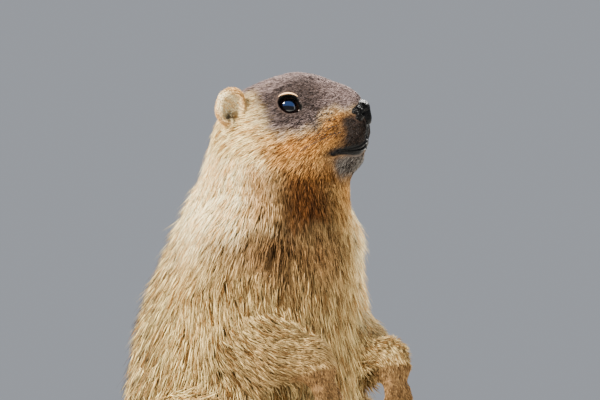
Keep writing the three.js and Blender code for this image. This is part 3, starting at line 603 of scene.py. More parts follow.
def hair_length(points, regions):
    """Length of the hair in millimetres: shortest on the muzzle and round the eyes, longest on the body."""
    head = to_head(points)
    z = points[:, 2] / MM
    away = np.linalg.norm(head - MUZZLE, axis=1)
    body = np.interp(away, [8, 16, 28, 42, 58, 80, 110, 150], [1.7, 2.5, 3.6, 5.6, 8.5, 13, 18, 21])
    body = body * (1 - 0.42 * ease(-14, 2, head[:, 2]) * ease(-56, -40, head[:, 0]))
    body = body * np.clip(0.35 + 0.5 * (eye_place(head)[0] - 1), 0.35, 1)
    lengths = {
        "head": body, "neck": body, "torso": body, "eye": body, "nose": 1.5, "ear": 2.6, "forepaw": 3.0,
        "foreleg": np.interp(wrist_distance(points), [0, 20, 60], [4, 8.5, 15]),
        "haunch": np.interp(z, [5, 30, 60], [8, 15, 20]), "hindfoot": 3.2,
        "tail": np.interp(along_tail(points)[0], [0, 0.2, 0.8, 1], [20, 28, 30, 24]),
    }
    return by_region(regions, lengths)


def coat_depth(points, regions, length):
    """How far the skin lies inside the tips of the coat, in metres."""
    depth = length * np.interp(length, [1.5, 6, 20], [0.3, 0.36, 0.42])
    depths = {name: depth for name in REGIONS}
    low_foot = np.interp(points[:, 2] / MM, [0, 4], [0.1, 1.1])
    depths.update(ear=0.3, tail=0.0, eye=1.6, nose=1.2, hindfoot=low_foot)
    return by_region(regions, depths) * MM


def hair_flow(points, regions):
    """The lie of the coat: the way each hair points, before it is laid along the skin."""
    u, v, w = to_head(points).T
    side = np.sign(points[:, 0])
    x, y, z = (points / MM).T
    low = np.clip((-w - 10) / 30, 0, 1)
    back = head_vector(
        -np.ones(len(u)), 0.2 * np.clip(v / 20, -1, 1), -(0.05 + 0.62 * low) - 0.5 * ease(-6, -30, u)
    )
    ear = head_vector(-0.5 * np.ones(len(u)), 0.4 * np.sign(v), 0.8 * np.ones(len(u)))
    down = np.stack([0.12 * x / 60, 0.1 * ease(60, 20, z), -np.ones(len(z))], axis=1)
    rump = ease(70, 10, z) * ease(20, 60, y)
    down = down + rump[:, None] * [0, 1.2, 0]
    flow = {"head": back, "eye": back, "nose": back, "ear": ear, "neck": down, "torso": down}
    arm, leg = np.zeros((len(points), 3)), np.zeros((len(points), 3))
    for s in (-1, 1):
        here = side == s
        arm[here] = along_line(points[here], mirrored(ARM, s) * MM)[2]
        leg[here] = along_line(points[here], mirrored(THIGH, s) * MM)[2]
    ahead = np.stack(
        [side * math.sin(FOOT_SPLAY), np.full(len(side), -math.cos(FOOT_SPLAY)), np.zeros(len(side))], 1
    )
    flow.update(foreleg=arm, forepaw=arm, haunch=leg, hindfoot=ahead, tail=along_tail(points)[2])
    return unit(by_region(regions, flow))


def marks(points, regions):
    """How much of each zone's colour a place has, as two arrays of four. Skin and coat both use it.

    Places are in millimetres, as u, v, w in the head's frame or x, y, z in the body's.
    """
    head = to_head(points)
    u, v, w = head.T
    x, y, z = (points / MM).T
    is_ear, is_head = among(regions, "ear"), among(regions, *ON_HEAD)
    round_front = np.arctan2(x, -y)
    ripple = (
        1.6 * np.sin(u * 0.55 + v * 0.3)
        + 1.2 * np.sin(w * 0.7 - u * 0.35)
        + 2.5 * np.sin(x * 0.21 + z * 0.16)
    )

    edge = np.interp(
        u,
        [-40, -30, -22, -14, -6, 2, 10, 18, 26, 34, 42, 50],
        [14, 11, 7, 1, -9, -17, -22, -22, -19, -15, -15, -16],
    )
    cap = ease(-5, 5, w - edge + 0.7 * ripple) * ease(-46, -24, u) * is_head
    behind_eye = ease(4, -9, u + ripple) * ease(16, 6, w) * ease(10, 18, np.abs(v))
    cap = cap * (1 - 0.85 * behind_eye)
    cheek = (1 - cap) * ease(-10, 9, u + 1.2 * ripple - 0.25 * (w + 30)) * is_head
    cheek = cheek * ease(-64, -50, w)
    mouth = along_line(head, mouth_line())[1]
    front = ease(32.5, 40, u + 0.6 * ripple)
    lip = np.maximum(front * ease(-15, -20, w), ease(6.5, 2.5, mouth)) * ease(-40, -36, w) * is_head
    eye_front = np.linalg.norm((head - [22, 0, -2]) * [1, 0, 0.9], axis=1)
    lip = np.maximum(lip, 0.75 * ease(17, 5, eye_front) * ease(7, 12, np.abs(v)) * is_head)
    lip = np.maximum(lip, 0.7 * ease(3.1, 1.3, eye_place(head)[0] + 0.06 * ripple) * is_head)
    chin = 0.95 * ease(25, 32, u + 0.5 * ripple) * ease(-38, -41, w) * ease(-54, -48, w) * is_head
    # Under the jaw and down the neck to the fold: rusty brown darkened as painted shadow of the head; the
    # cheek's orange gives way to it there
    under = ease(-29, -46, w - 0.8 * ripple) * ease(-10, 8, u) * is_head * (1 - chin)
    middle = np.exp(-(((round_front - THROAT_AND_SHADOW_MIDDLE) / 0.42) ** 4)) * ease(270, 250, z) * ~is_head
    fold = z + 1.3 * ripple - FOLD
    throat = np.maximum(under, middle * ease(-5, 3, fold))
    fringe = ease(0.86, 0.54, np.abs(round_front + 0.2)) * ease(-2, 12, fold) * ease(270, 250, z)
    cheek = np.maximum(cheek * (1 - 0.5 * under), 0.9 * fringe * (1 - 0.85 * throat) * ~is_head)
    belly = 0.5 * ease(130, 90, z) * ease(1.6, 0.9, np.abs(round_front))
    width = np.where(round_front > CHEST_MIDDLE, 0.86, 0.92)
    # Strongest at the fold and fading downwards: the chest's own brown, and just under the fold painted shadow
    # of the neck's ruff
    chest = np.exp(-np.abs((round_front - CHEST_MIDDLE) / width) ** 3) * ease(6, -3, fold)
    chest = chest * (0.42 + 0.58 * ease(148, 188, z + 2 * ripple))
    chest = np.maximum(chest, belly) * ~is_head
    nape = ease(1.9, 2.6, np.abs(round_front))
    cream = ease(165, 205, z + 2 * ripple) * ease(0.35, 0.75, np.abs(round_front)) * (1 - 0.8 * nape)
    left_side = 0.65 * ease(0.3, 0.6, round_front) * ease(1.5, 1.1, round_front) * ease(120, 150, z)
    cream = np.maximum(cream, left_side) * ~is_head
    cream = np.maximum(cream, (1 - cheek) * (0.25 + 0.75 * ease(-20, -46, w)) * is_head)
    paws = {
        "forepaw": 0.75, "hindfoot": 0.8, "foreleg": 0.3 * ease(150, 112, z),
        "tail": 0.35 + 0.6 * ease(0.3, 0.9, along_tail(points)[0]),
    }
    brown = np.select([among(regions, name) for name in paws], list(paws.values()), 0.0)
    # In an ear the rim takes the cheek's orange and the hollow pale cream; a little of the cap's colour in the
    # hollow and the lip's near-black at the canal are painted shade in the ear's recess
    inside, canal = ear_inside(head)
    cheek = np.where(is_ear, 0.7 * (1 - inside), cheek)
    cream = np.where(is_ear, 0.25 + 0.7 * inside, cream)
    cap = np.where(is_ear, 0.2 * inside, cap)
    lip = np.where(is_ear, canal, lip)
    first = np.stack([cream, chest, throat, cheek], axis=1)
    second = np.stack([cap, lip, brown, chin], axis=1)
    return np.clip(first, 0, 1), np.clip(second, 0, 1)


def ear_inside(head_points):
    """1 in the hollow of an ear and 0 on its rim, and 1 at its dark canal, for points in the head's frame."""
    off = (head_points - np.array(EAR["base"])) * [1, 0, 1]
    hollow = ease(0.92, 0.7, np.hypot(off[:, 0] / EAR["half_length"], off[:, 2] / EAR["half_height"]))
    return hollow, ease(1.25, 0.7, np.hypot((off[:, 0] - 1) / 5.5, (off[:, 2] + 6) / 3.2))


def bareness(points, regions):
    """1 where no hair grows: the eyes' openings, the lips, the nose and the soles."""
    head = to_head(points)
    z = points[:, 2] / MM
    mouth = along_line(head, mouth_line())[1]
    philtrum = ease(44, 45.5, head[:, 0]) * ease(-19, -22, head[:, 2]) * ease(-40, -37, head[:, 2])
    philtrum = philtrum * ease(4.6, 3.4, np.abs(head[:, 1]))
    openness, height = eye_place(head)
    lid = np.where(height > 0.25, ease(1.24, 1.17, openness), ease(1.1, 1.03, openness))
    reach = 1.7 + 1.5 * ease(29, 42, head[:, 0])
    bare = np.maximum(lid, np.maximum(ease(0.8, 0, mouth - reach), philtrum) * among(regions, "head"))
    return np.where(among(regions, "eye", "nose") | among(regions, "hindfoot") & (z < 1.6), 1.0, bare)


# Skin

# Rounds of smoothing before the skin is sunk into the solids, and the steps in which it sinks
SMOOTHINGS = 24
SINKINGS = 6


def tail_core(made):
    """Beads along the tail's line, which the skin's remeshing joins into one core."""
    line = tail_line(TAIL["steps"])
    thick, thin = TAIL["radius"]
    for i, place in enumerate(line):
        radius = (thick + (thin - thick) * (i / (len(line) - 1)) ** 1.3) * MM
        bmesh.ops.create_uvsphere(
            made, u_segments=14, v_segments=10, radius=radius, matrix=Matrix.Translation(Vector(place))
        )


def largest_piece(mesh):
    """Deletes every loose scrap but the largest surface."""
    made = bmesh.new()
    made.from_mesh(mesh)
    left = set(made.verts)
    pieces = []
    while left:
        group = [left.pop()]
        for vert in group:
            for edge in vert.link_edges:
                other = edge.other_vert(vert)
                if other in left:
                    left.remove(other)
                    group.append(other)
        pieces.append(group)
    keep = max(pieces, key=len)
    bmesh.ops.delete(made, geom=[v for group in pieces if group is not keep for v in group], context="VERTS")
    made.to_mesh(mesh)
    made.free()


def store(mesh, name, kind, values, key="value"):
    """Stores an array on the mesh's points."""
    values = np.ascontiguousarray(values, np.int32 if kind == "INT" else np.float32)
    mesh.attributes.new(name, kind, "POINT").data.foreach_set(key, values.ravel())


def unwrap(made):
    """An unwrap of the skin's own shape, which the coat's map is read from too."""
    bpy.ops.object.select_all(action="DESELECT")
    bpy.context.view_layer.objects.active = made
    made.select_set(True)
    bpy.ops.object.mode_set(mode="EDIT")
    bpy.ops.mesh.select_all(action="SELECT")
    bpy.ops.uv.smart_project(angle_limit=math.radians(66), island_margin=0.002)
    bpy.ops.object.mode_set(mode="OBJECT")
    made.data.uv_layers[0].name = "OFBake"


class MARMOT_OT_skin(bpy.types.Operator):
    """One skin for the whole body, inside the solids by the depth of the coat"""

    bl_idname = "marmot.skin"
    bl_label = "Skin"

    def execute(self, context):
        coat = settings()[1]
        flesh = [n for n in node_names(*REGIONS) if not n.startswith("tail")]
        source = node_copies(flesh, swell=0.4 * MM)
        tail_core(source)
        remesh = {"mode": "VOXEL", "voxel_size": coat.voxel}
        mesh = finished(scratch("skin_source", mesh_of(source, "skin_source"), REMESH=remesh))
        largest_piece(mesh)
        surface = Surface(mesh)
        regions = nearest_regions(surface.points)
        fine = among(regions, *ON_HEAD, "forepaw", "hindfoot")
        soft = surface.smoothed(np.where(fine, 0.07, 0.55)[:, None], 12)
        for _ in range(SMOOTHINGS):
            surface.points = surface.smoothed(surface.points, 1, soft)
            surface.points = surface.smoothed(surface.points, 1, -1.04 * soft)
        length = hair_length(surface.points, regions)
        spread = surface.smoothed(fine.astype(float)[:, None], 20)[:, 0]
        length = self.evened(surface, length, spread)
        depth = self.evened(surface, coat_depth(surface.points, regions, length), spread)
        for _ in range(SINKINGS):
            surface.points -= surface.normals() * depth[:, None] / SINKINGS
            surface.points = surface.smoothed(surface.points, 2, 0.6 * soft)
        surface.points[:, 2] = np.maximum(surface.points[:, 2], SKIN_CLEAR)
        mesh.vertices.foreach_set("co", surface.points.astype(np.float32).ravel())
        body = scratch("skin_body", mesh)
        coarse = np.nonzero(~fine & ~among(regions, "tail"))[0].tolist()
        body.vertex_groups.new(name="coarse").add(coarse, 1.0, "REPLACE")
        thin = body.modifiers.new("thin", "DECIMATE")
        thin.ratio, thin.vertex_group, thin.vertex_group_factor = coat.skin_share, "coarse", 1.0
        mesh = finished(body)
        self.mark(mesh, surface, regions, length)
        made = mesh_object("skin", mesh, skin_material())
        mesh.shade_smooth()
        unwrap(made)
        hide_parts(*[n for n in node_names(*REGIONS) if not n.startswith(("eye", "nose"))])
        return {"FINISHED"}

    def evened(self, surface, values, fine):
        """Values without steps between regions; where the shapes are fine, they are smoothed less."""
        quick = surface.smoothed(values[:, None], 6)[:, 0]
        slow = surface.smoothed(values[:, None], 60)[:, 0]
        return slow + (quick - slow) * ease(0.3, 0.9, fine)

    def mark(self, mesh, surface, regions, length):
        """Stores on the skin its regions, the lie and length of the hair and the coat's marks."""
        tree = KDTree(len(surface.points))
        for i, point in enumerate(surface.points):
            tree.insert(point, i)
        tree.balance()
        thinned = Surface(mesh)
        nearest = np.array([tree.find(p)[1] for p in thinned.points])
        here = regions[nearest]
        flow = thinned.smoothed(hair_flow(thinned.points, here), 30)
        normals = thinned.normals()
        flow = unit(flow - normals * (flow * normals).sum(1)[:, None])
        first, second = (thinned.smoothed(m, 4) for m in marks(thinned.points, here))
        bare = bareness(thinned.points, here)
        store(mesh, "length", "FLOAT", length[nearest])
        store(mesh, "region", "INT", here)
        store(mesh, "flow", "FLOAT_VECTOR", flow, "vector")
        hair = np.stack([bare, bare, bare, np.ones(len(bare))], axis=1)
        for layer, colours in (("MarksA", first), ("MarksB", second), ("Hair", hair)):
            store(mesh, layer, "FLOAT_COLOR", colours, "color")


# Coat

# What follows from the length of the hair: tufts per square millimetre, their half width in millimetres, the
# angle in radians at which they leave the skin, and how far their tips are drawn together
LENGTHS = (1.6, 3, 5, 8, 13, 18, 22, 30)
DENSITIES = (4.2, 3.3, 2.3, 1.55, 1.0, 0.72, 0.58, 0.8)
HALF_WIDTHS = (0.15, 0.17, 0.21, 0.26, 0.32, 0.37, 0.41, 0.5)
RISES = (0.5, 0.5, 0.55, 0.62, 0.68, 0.72, 0.76, 0.64)
PULLS = (0.1, 0.15, 0.25, 0.32, 0.36, 0.4, 0.42, 0.4)

# Tufts that share a tone and lean together, tufts of one streak, the share of stray hairs, and the size of a
# tuft's patch on the map
CLUMP = 8
STREAK = 20
STRAYS = 0.08
PATCH = 0.003

# The least change of angle along a tuft, and the most that its tip is drawn aside, as a share of its length
LEAST_BEND = 0.05
MOST_DRAWN = 0.5

# Where the crown begins behind the face, in the head's frame, and the back behind the chest, in the body's
CROWN_FRONT = 8
BACK_FRONT = -6

# Each kind of coat: the region that it grows on, a test on its roots in the body's frame in millimetres and in
# the head's, the angle at the tips, the share of dark tips on the back, and how dense it is, on each side
# if it has two
COATS = {
    "coat_face": ("head", lambda p, h: h[:, 0] > CROWN_FRONT, 0.1, 0.0, (1.15, 1.15)),
    "coat_crown": ("head", lambda p, h: h[:, 0] <= CROWN_FRONT, 0.1, 0.25, (1.25, 1.25)),
    "coat_ears": ("ear", None, 0.3, 0.0, (0.8,)),
    "coat_neck": ("neck", None, 0.1, 0.6, (1.35, 1.35)),
    "coat_chest": ("torso", lambda p, h: p[:, 1] < BACK_FRONT, 0.1, 0.0, (1.25, 1.25)),
    "coat_back": ("torso", lambda p, h: p[:, 1] >= BACK_FRONT, 0.1, 0.95, (1.0, 1.0)),
    "coat_foreleg": ("foreleg", None, 0.1, 0.2, (1.0, 0.9)),
    "coat_haunch": ("haunch", None, 0.1, 0.3, (0.85, 0.85)),
    "coat_forepaws": ("forepaw", None, 0.08, 0.0, (0.7,)),
    "coat_hindfeet": ("hindfoot", None, 0.08, 0.0, (0.7,)),
    "coat_tail": ("tail", None, 0.22, 0.8, (1.2,)),
}


def ring_tufts(root, direction, up, length, width, rise, settle, curl, rings):
    """Tapered tufts of three sides: points of each ring and tip, and how far along each point is.

    A tuft leaves its root at the angle rise from the skin and ends at the angle settle.
    """
    side = np.cross(direction, up)
    turn = settle - rise
    corners, along = [], []
    for share in np.linspace(0, 1, rings + 1):
        angle = rise + turn * share
        ahead = (np.sin(angle) - np.sin(rise)) / turn
        high = (np.cos(rise) - np.cos(angle)) / turn
        middle = root + length[:, None] * (
            direction * ahead[:, None] + up * high[:, None] + side * (curl * share ** 2)[:, None]
        )
        if share == 1:
            corners.append(middle)
            along.append(np.ones(len(root)))
            continue
        radius = width * (1 + 0.9 * share) * (1 - share) ** 0.5
        over = up * np.cos(angle)[:, None] - direction * np.sin(angle)[:, None]
        for j in range(3):
            theta = math.pi * (0.5 + j * 2 / 3)
            corners.append(
                middle
                + side * (radius * math.cos(theta))[:, None]
                + over * (radius * 0.5 * math.sin(theta))[:, None]
            )
            along.append(np.full(len(root), share))
    return np.stack(corners, axis=1), np.stack(along, axis=1)


def ring_faces(rings):
    """The faces of one tuft: its end at the root, the quads between rings, and the triangles to its tip."""
    quads = []
    for ring in range(rings - 1):
        for j in range(3):
            a, b = ring * 3 + j, ring * 3 + (j + 1) % 3
            quads.append([a, a + 3, b + 3, b])
    last, tip = (rings - 1) * 3, rings * 3
    triangles = [[0, 1, 2]] + [[last + j, tip, last + (j + 1) % 3] for j in range(3)]
    return np.array(triangles), np.array(quads)


def joined_mesh(name, corners, triangles, quads):
    """One mesh of many like pieces, from each piece's points and the faces that all of them have."""
    count, each = corners.shape[:2]
    starts = np.arange(count)[:, None, None] * each
    faces3, faces4 = ((faces[None] + starts).reshape(-1) for faces in (triangles, quads))
    mesh = bpy.data.meshes.new(name)
    mesh.vertices.add(count * each)
    mesh.vertices.foreach_set("co", corners.astype(np.float32).ravel())
    mesh.loops.add(len(faces3) + len(faces4))
    mesh.loops.foreach_set("vertex_index", np.concatenate([faces3, faces4]).astype(np.int32))
    begin = np.concatenate([np.arange(0, len(faces3), 3), len(faces3) + np.arange(0, len(faces4), 4)])
    mesh.polygons.add(len(begin))
    mesh.polygons.foreach_set("loop_start", begin.astype(np.int32))
    mesh.update(calc_edges=True)
    return mesh


class Hide(Surface):
    """The skin with what is stored on it, to plant roots in."""

    def __init__(self):
        mesh = bpy.data.objects["skin"].data
        super().__init__(mesh)
        stored = {name: layer.data for name, layer in mesh.attributes.items()}
        self.upward = read(mesh.vertices, "normal", 3).astype(float)
        self.flow = read(stored["flow"], "vector", 3).astype(float)
        self.regions = read(stored["region"], "value", 1, np.int32)
        self.lengths = read(stored["length"], "value", 1).astype(float)[:, None]
        self.marks = [read(stored[name], "color", 4) for name in ("MarksA", "MarksB")]
        self.bare = read(stored["Hair"], "color", 4)[:, 0]
        loops = read(mesh.loop_triangles, "loops", 3, np.int32)
        self.maps = read(mesh.uv_layers["OFBake"].uv, "vector", 2)[loops]
        a, b, c = self.points[self.triangles].transpose(1, 0, 2)
        self.areas = np.linalg.norm(np.cross(b - a, c - a), axis=1) / 2 / MM ** 2

    def plant(self, region, side, test, share, chance):
        """Roots spread over a region, or one side of it, with what the skin has there."""
        chosen = among(self.regions[self.triangles[:, 0]], region)
        middles = self.points[self.triangles].mean(axis=1)
        in_body, in_head = middles / MM, to_head(middles)
        if test is not None:
            chosen &= test(in_body, in_head)
        if side is not None:
            is_left = (in_head[:, 1] if region == "head" else in_body[:, 0]) >= 0
            chosen &= is_left == (side == "left")
        density = np.interp(self.lengths[self.triangles].mean(axis=1)[:, 0], LENGTHS, DENSITIES)
        weight = share * density * self.areas * chosen * (1 - self.bare[self.triangles].max(axis=1))
        total = np.cumsum(weight)
        count = int(total[-1])
        picks = (np.arange(count) + chance.random(count)) * (total[-1] / count)
        face = np.minimum(np.searchsorted(total, picks), len(total) - 1)
        r, s = np.sqrt(chance.random(count)), chance.random(count)
        parts = np.stack([1 - r, r * (1 - s), r * s], axis=1)[:, :, None]

        def blended(values):
            return (values[self.triangles[face]] * parts).sum(axis=1)

        normal = unit(blended(self.upward))
        flow = blended(self.flow)
        flow = unit(flow - normal * (flow * normal).sum(axis=1)[:, None])
        place = (self.maps[face] * parts).sum(axis=1)
        return (
            blended(self.points), normal, flow, blended(self.lengths)[:, 0], place, map(blended, self.marks)
        )


def clump_leaders(roots, flow, size, chance):
    """The number of the chosen root nearest to each; places along the hair's lie count as nearer."""
    leaders = chance.permutation(len(roots))[: max(1, len(roots) // size)]
    tree = KDTree(len(leaders))
    for i, leader in enumerate(leaders):
        tree.insert(roots[leader], i)
    tree.balance()
    near = min(5, len(leaders))
    found = leaders[np.array([[n[1] for n in tree.find_n(p, near)] for p in roots])]
    off = roots[found] - roots[:, None]
    ahead = (off * flow[:, None]).sum(axis=2)
    best = np.argmin((off ** 2).sum(axis=2) - 0.9 * ahead ** 2, axis=1)
    return found[np.arange(len(roots)), best]


def grow(name, number, side, hide):
    """The mesh of one kind of coat, or of one side of it; number counts the pieces, for the random draws."""
    region, test, settle, dark, shares = COATS[name]
    share, rings = shares[side == "left"], 3 if region == "tail" else 2
    coat = settings()[1]
    chance = np.random.default_rng(coat.seed + number)
    thinning = 1.0
    density = coat.density * thinning * share
    root, normal, flow, reach, place, found = hide.plant(region, side, test, density, chance)
    count = len(root)
    stray = chance.random(count) < STRAYS

    def by_length(values):
        return np.interp(reach, LENGTHS, values)

    length = reach * MM * coat.length * chance.uniform(0.75, 1.2, count) * np.where(stray, 1.05, 1)
    width = by_length(HALF_WIDTHS) * MM * chance.uniform(0.75, 1.25, count)
    width = width * np.where(stray, 0.55, 1) / math.sqrt(thinning * share)
    rise = by_length(RISES) * chance.uniform(0.7, 1.3, count) + np.where(stray, 0.1, 0)
    settle = np.minimum(settle + chance.normal(0, 0.07, count) + np.where(stray, 0.12, 0), rise - LEAST_BEND)
    direction = unit(flow + chance.normal(0, 0.15, count)[:, None] * np.cross(flow, normal))
    sink = np.minimum(0.6 * MM, 0.12 * length)[:, None]
    curl = chance.normal(0, 0.06, count)
    corners, along = ring_tufts(
        root - normal * sink, direction, normal, length, width, rise, settle, curl, rings
    )
    leader = clump_leaders(root, flow, CLUMP, chance)
    pull = by_length(PULLS)[:, None] * np.where(stray, 0.3, 1)[:, None]
    drawn = (corners[leader, -1] - corners[:, -1]) * pull
    drawn *= np.minimum(
        1, MOST_DRAWN * length / np.maximum(np.linalg.norm(drawn, axis=1), 0.01 * MM)
    )[:, None]
    corners = corners + drawn[:, None] * (along ** 2)[:, :, None]
    corners[:, :, 2] = np.maximum(corners[:, :, 2], TUFT_CLEAR)
    mesh = joined_mesh(name, corners, *ring_faces(rings))
    each = corners.shape[1]
    streak = clump_leaders(root, flow, STREAK, chance)
    deep = (
        0.5 * chance.random(count)
        + 0.28 * chance.random(count)[leader]
        + 0.22 * chance.random(count)[streak]
    )
    deep = ease(0.18, 0.8, deep)
    dark = dark * ease(-10, 40, root[:, 1] / MM) * (chance.random(count) < 0.7)
    dark = np.maximum(dark, 0.8 * (region == "tail"))
    tones = [np.repeat(tone[:, None], each, 1) for tone in (deep, dark, chance.random(count))]
    for layer, colours in zip(("MarksA", "MarksB"), found):
        store(mesh, layer, "FLOAT_COLOR", np.repeat(colours, each, axis=0), "color")
    store(mesh, "Hair", "FLOAT_COLOR", np.stack([along, *tones], axis=2), "color")
    across = np.tile(np.array([0, -0.5, 0.5] * rings + [0]), (count, 1))
    spots = (place[:, None] + np.stack([across, along - 0.5], axis=2) * PATCH).reshape(-1, 2)
    layer = mesh.uv_layers.new(name="OFBake")
    layer.uv.foreach_set(
        "vector", spots[read(mesh.loops, "vertex_index", 1, np.int32)].astype(np.float32).ravel()
    )
    return mesh


class MARMOT_OT_coat(bpy.types.Operator):
    """The whole coat, as joined tufts that follow the lie of the hair"""

    bl_idname = "marmot.coat"
    bl_label = "Coat"

    def execute(self, context):
        hide = Hide()
        material = hair_material()
        number = 0
        for name, (region, *_, shares) in COATS.items():
            for side in ("right", "left") if len(shares) > 1 else (None,):
                mesh = grow(name, number, side, hide)
                made = mesh_object(f"{name}_{side}" if side else name, mesh, material)
                number += 1
        return {"FINISHED"}


# Face

# Each lip: how far its line lies above the mouth's, and its radius, in millimetres; and how deep both sit in
# the skin
LIPS = {"lip_upper": (1.2, 1.4), "lip_lower": (-1.2, 1.3)}
LIP_SUNK = 0.75

# Radii in millimetres of the lid's rim, of the pale edge over it and of the inner corner's glossy flesh, whose
# pale colour is a painted glint, and how far both lid pieces stand out
RIM = 0.42
EDGE = 0.52
CORNER = (0.2, 0.6, 0.6, 0.2)
LID_LIFT = 0.25


def skin_tree():
    """The skin's surface, to place other pieces on."""
    mesh = bpy.data.objects["skin"].data
    return BVHTree.FromPolygons([v.co for v in mesh.vertices], [p.vertices for p in mesh.polygons])


def tube(name, points, radii, material, sides=4):
    """A round strip along a line of points, thinner or thicker along its way, closed at both ends."""
    curve = bpy.data.curves.new(name, "CURVE")
    curve.dimensions = "3D"
    curve.bevel_depth = 1.0
    curve.bevel_resolution = sides
    curve.use_fill_caps = True
    spline = curve.splines.new("POLY")
    spline.points.add(len(points) - 1)
    for target, place, radius in zip(spline.points, points, radii):
        target.co = (*place, 1)
        target.radius = radius
    mesh = finished(scratch(name, curve))
    bpy.data.curves.remove(curve)
    mesh.shade_smooth()
    return mesh_object(name, mesh, material)


def lid_places(angles, spread):
    """Places round the eye's opening, spread wider, as metres ahead and up from the eyeball's middle."""
    found = []
    for angle in angles:
        a, b = math.cos(angle), math.sin(angle)
        b = b / (1 + EYE_POINTS["front" if a > 0 else "rear"] * a * a)
        found.append((a * EYE["half_width"] * spread * MM, b * EYE["half_height"] * spread * MM))
    return found


class MARMOT_OT_eyes(bpy.types.Operator):
    """Eyeballs, the dark rims of their lids, the pale edges of the upper lids and the inner corners"""

    bl_idname = "marmot.eyes"
    bl_label = "Eyes"

    def execute(self, context):
        colours = settings()[0]
        rim = bare_material("marmot_lid", colours.bare_skin, 0.26, Specular_IOR_Level=0.3)
        pale = bare_material("marmot_lid_edge", linear(236, 186, 134), 0.6)
        # The inner corner is glossy flesh made pale: its colour is a painted glint of the wet corner
        flesh = bare_material("marmot_eye_corner", linear(150, 128, 120), 0.12)
        wide, deep, ahead_by = (size * EYE["radius"] * MM for size in EYEBALL.values())
        tree = skin_tree()
        for side, word in ((-1, "right"), (1, "left")):
            centre = from_head(*(np.array(EYE["centre"]) * [1, side, 1]))
            axis, ahead, up = (head_vector(*d) for d in eye_axes(side))
            ball = bmesh.new()
            bmesh.ops.create_uvsphere(ball, u_segments=64, v_segments=40, radius=wide)
            bmesh.ops.scale(ball, vec=(1, 1, deep / wide), verts=ball.verts)
            turn = Vector((0, 0, 1)).rotation_difference(Vector(axis)).to_matrix()
            middle = Matrix.Translation(Vector(centre + axis * ahead_by))
            bmesh.ops.transform(ball, matrix=middle @ turn.to_4x4(), verts=ball.verts)
            mesh = mesh_of(ball, "eyeball")
            mesh.shade_smooth()
            made = mesh_object("eyeball_" + word, mesh, eye_material(centre, axis))
            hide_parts("eye_" + word)

            def on_ball(x, y, lift):
                out = math.sqrt(1 - (x * x + y * y) / wide ** 2) * deep + ahead_by + lift * MM
                return centre + axis * out + ahead * x + up * y

            line = [on_ball(x, y, LID_LIFT) for x, y in lid_places(np.linspace(0, 2 * math.pi, 57), 1.03)]
            tube("lid_rim_" + word, line, [RIM * MM] * len(line), rim)
            upper = lid_places(np.linspace(0.42 * math.pi, 0.92 * math.pi, 19), 1.2)
            starts = [Vector(centre + axis * 0.03 + ahead * x + up * y) for x, y in upper]
            found = [tree.ray_cast(start, Vector(-axis))[0] for start in starts]
            line = [place + Vector(axis) * LID_LIFT * MM for place in found]
            thick = EDGE * MM * np.sin(np.linspace(0.08, math.pi - 0.08, len(line))) ** 0.8
            tube("lid_edge_" + word, line, thick, pale)
            (x, y), = lid_places([0], 0.86)
            corner = on_ball(x, y, -0.15)
            line = [corner + ahead * t * MM for t in (-0.9, -0.3, 0.3, 0.9)]
            tube("eye_corner_" + word, line, [radius * MM for radius in CORNER], flesh)
        return {"FINISHED"}


class MARMOT_OT_nose(bpy.types.Operator):
    """The bare nose with its nostrils"""

    bl_idname = "marmot.nose"
    bl_label = "Nose"

    def execute(self, context):
        source = mesh_of(node_copies(["nose"]), "nose_source")
        finish = {
            "REMESH": {"mode": "VOXEL", "voxel_size": 0.35 * MM},
            "SMOOTH": {"factor": 0.5, "iterations": 5},
        }
        mesh = finished(scratch("nose_source", source, **finish))
        mesh.shade_smooth()
        material = bare_material(
            "marmot_nose",
            settings()[0].bare_skin,
            0.34,
            grain=1500.0,
            bump=0.22 * MM,
            Specular_IOR_Level=0.06,
        )
        made = mesh_object("nose_pad", mesh, material)
        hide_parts("nose")
        return {"FINISHED"}


class MARMOT_OT_mouth(bpy.types.Operator):
    """The two lips, which meet along the line of the mouth"""

    bl_idname = "marmot.mouth"
    bl_label = "Mouth"

    def execute(self, context):
        tree = skin_tree()
        material = bare_material("marmot_lip", settings()[0].bare_skin, 0.36, Specular_IOR_Level=0.07)
        line = mouth_line(61)
        swell = np.sin(np.linspace(0.1, math.pi - 0.1, len(line))) ** 0.9
        thick = swell * (1 + 0.1 * ease(30, 43, line[:, 0]))
        for name, (rise, radius) in LIPS.items():
            points = []
            for (u, v, w), full in zip(line, thick):
                place, normal, _, _ = tree.find_nearest(Vector(from_head(u, v, w + rise * full)))
                points.append(place - normal * LIP_SUNK * MM)
            tube(name, points, radius * MM * thick, material)
        return {"FINISHED"}


# Rows of whisker roots in the head's frame: height, and how many; the first root's place, the steps from one
# to the next and from row to row, and the length of the first whisker and what each one behind it adds, in
# millimetres
WHISKER_ROWS = [(-26.5, 5), (-22.5, 5), (-18.5, 5), (-14.5, 4)]
WHISKER_PLACES = (37.5, 2.8, 0.7)
WHISKER_LENGTHS = (16, 4.5)


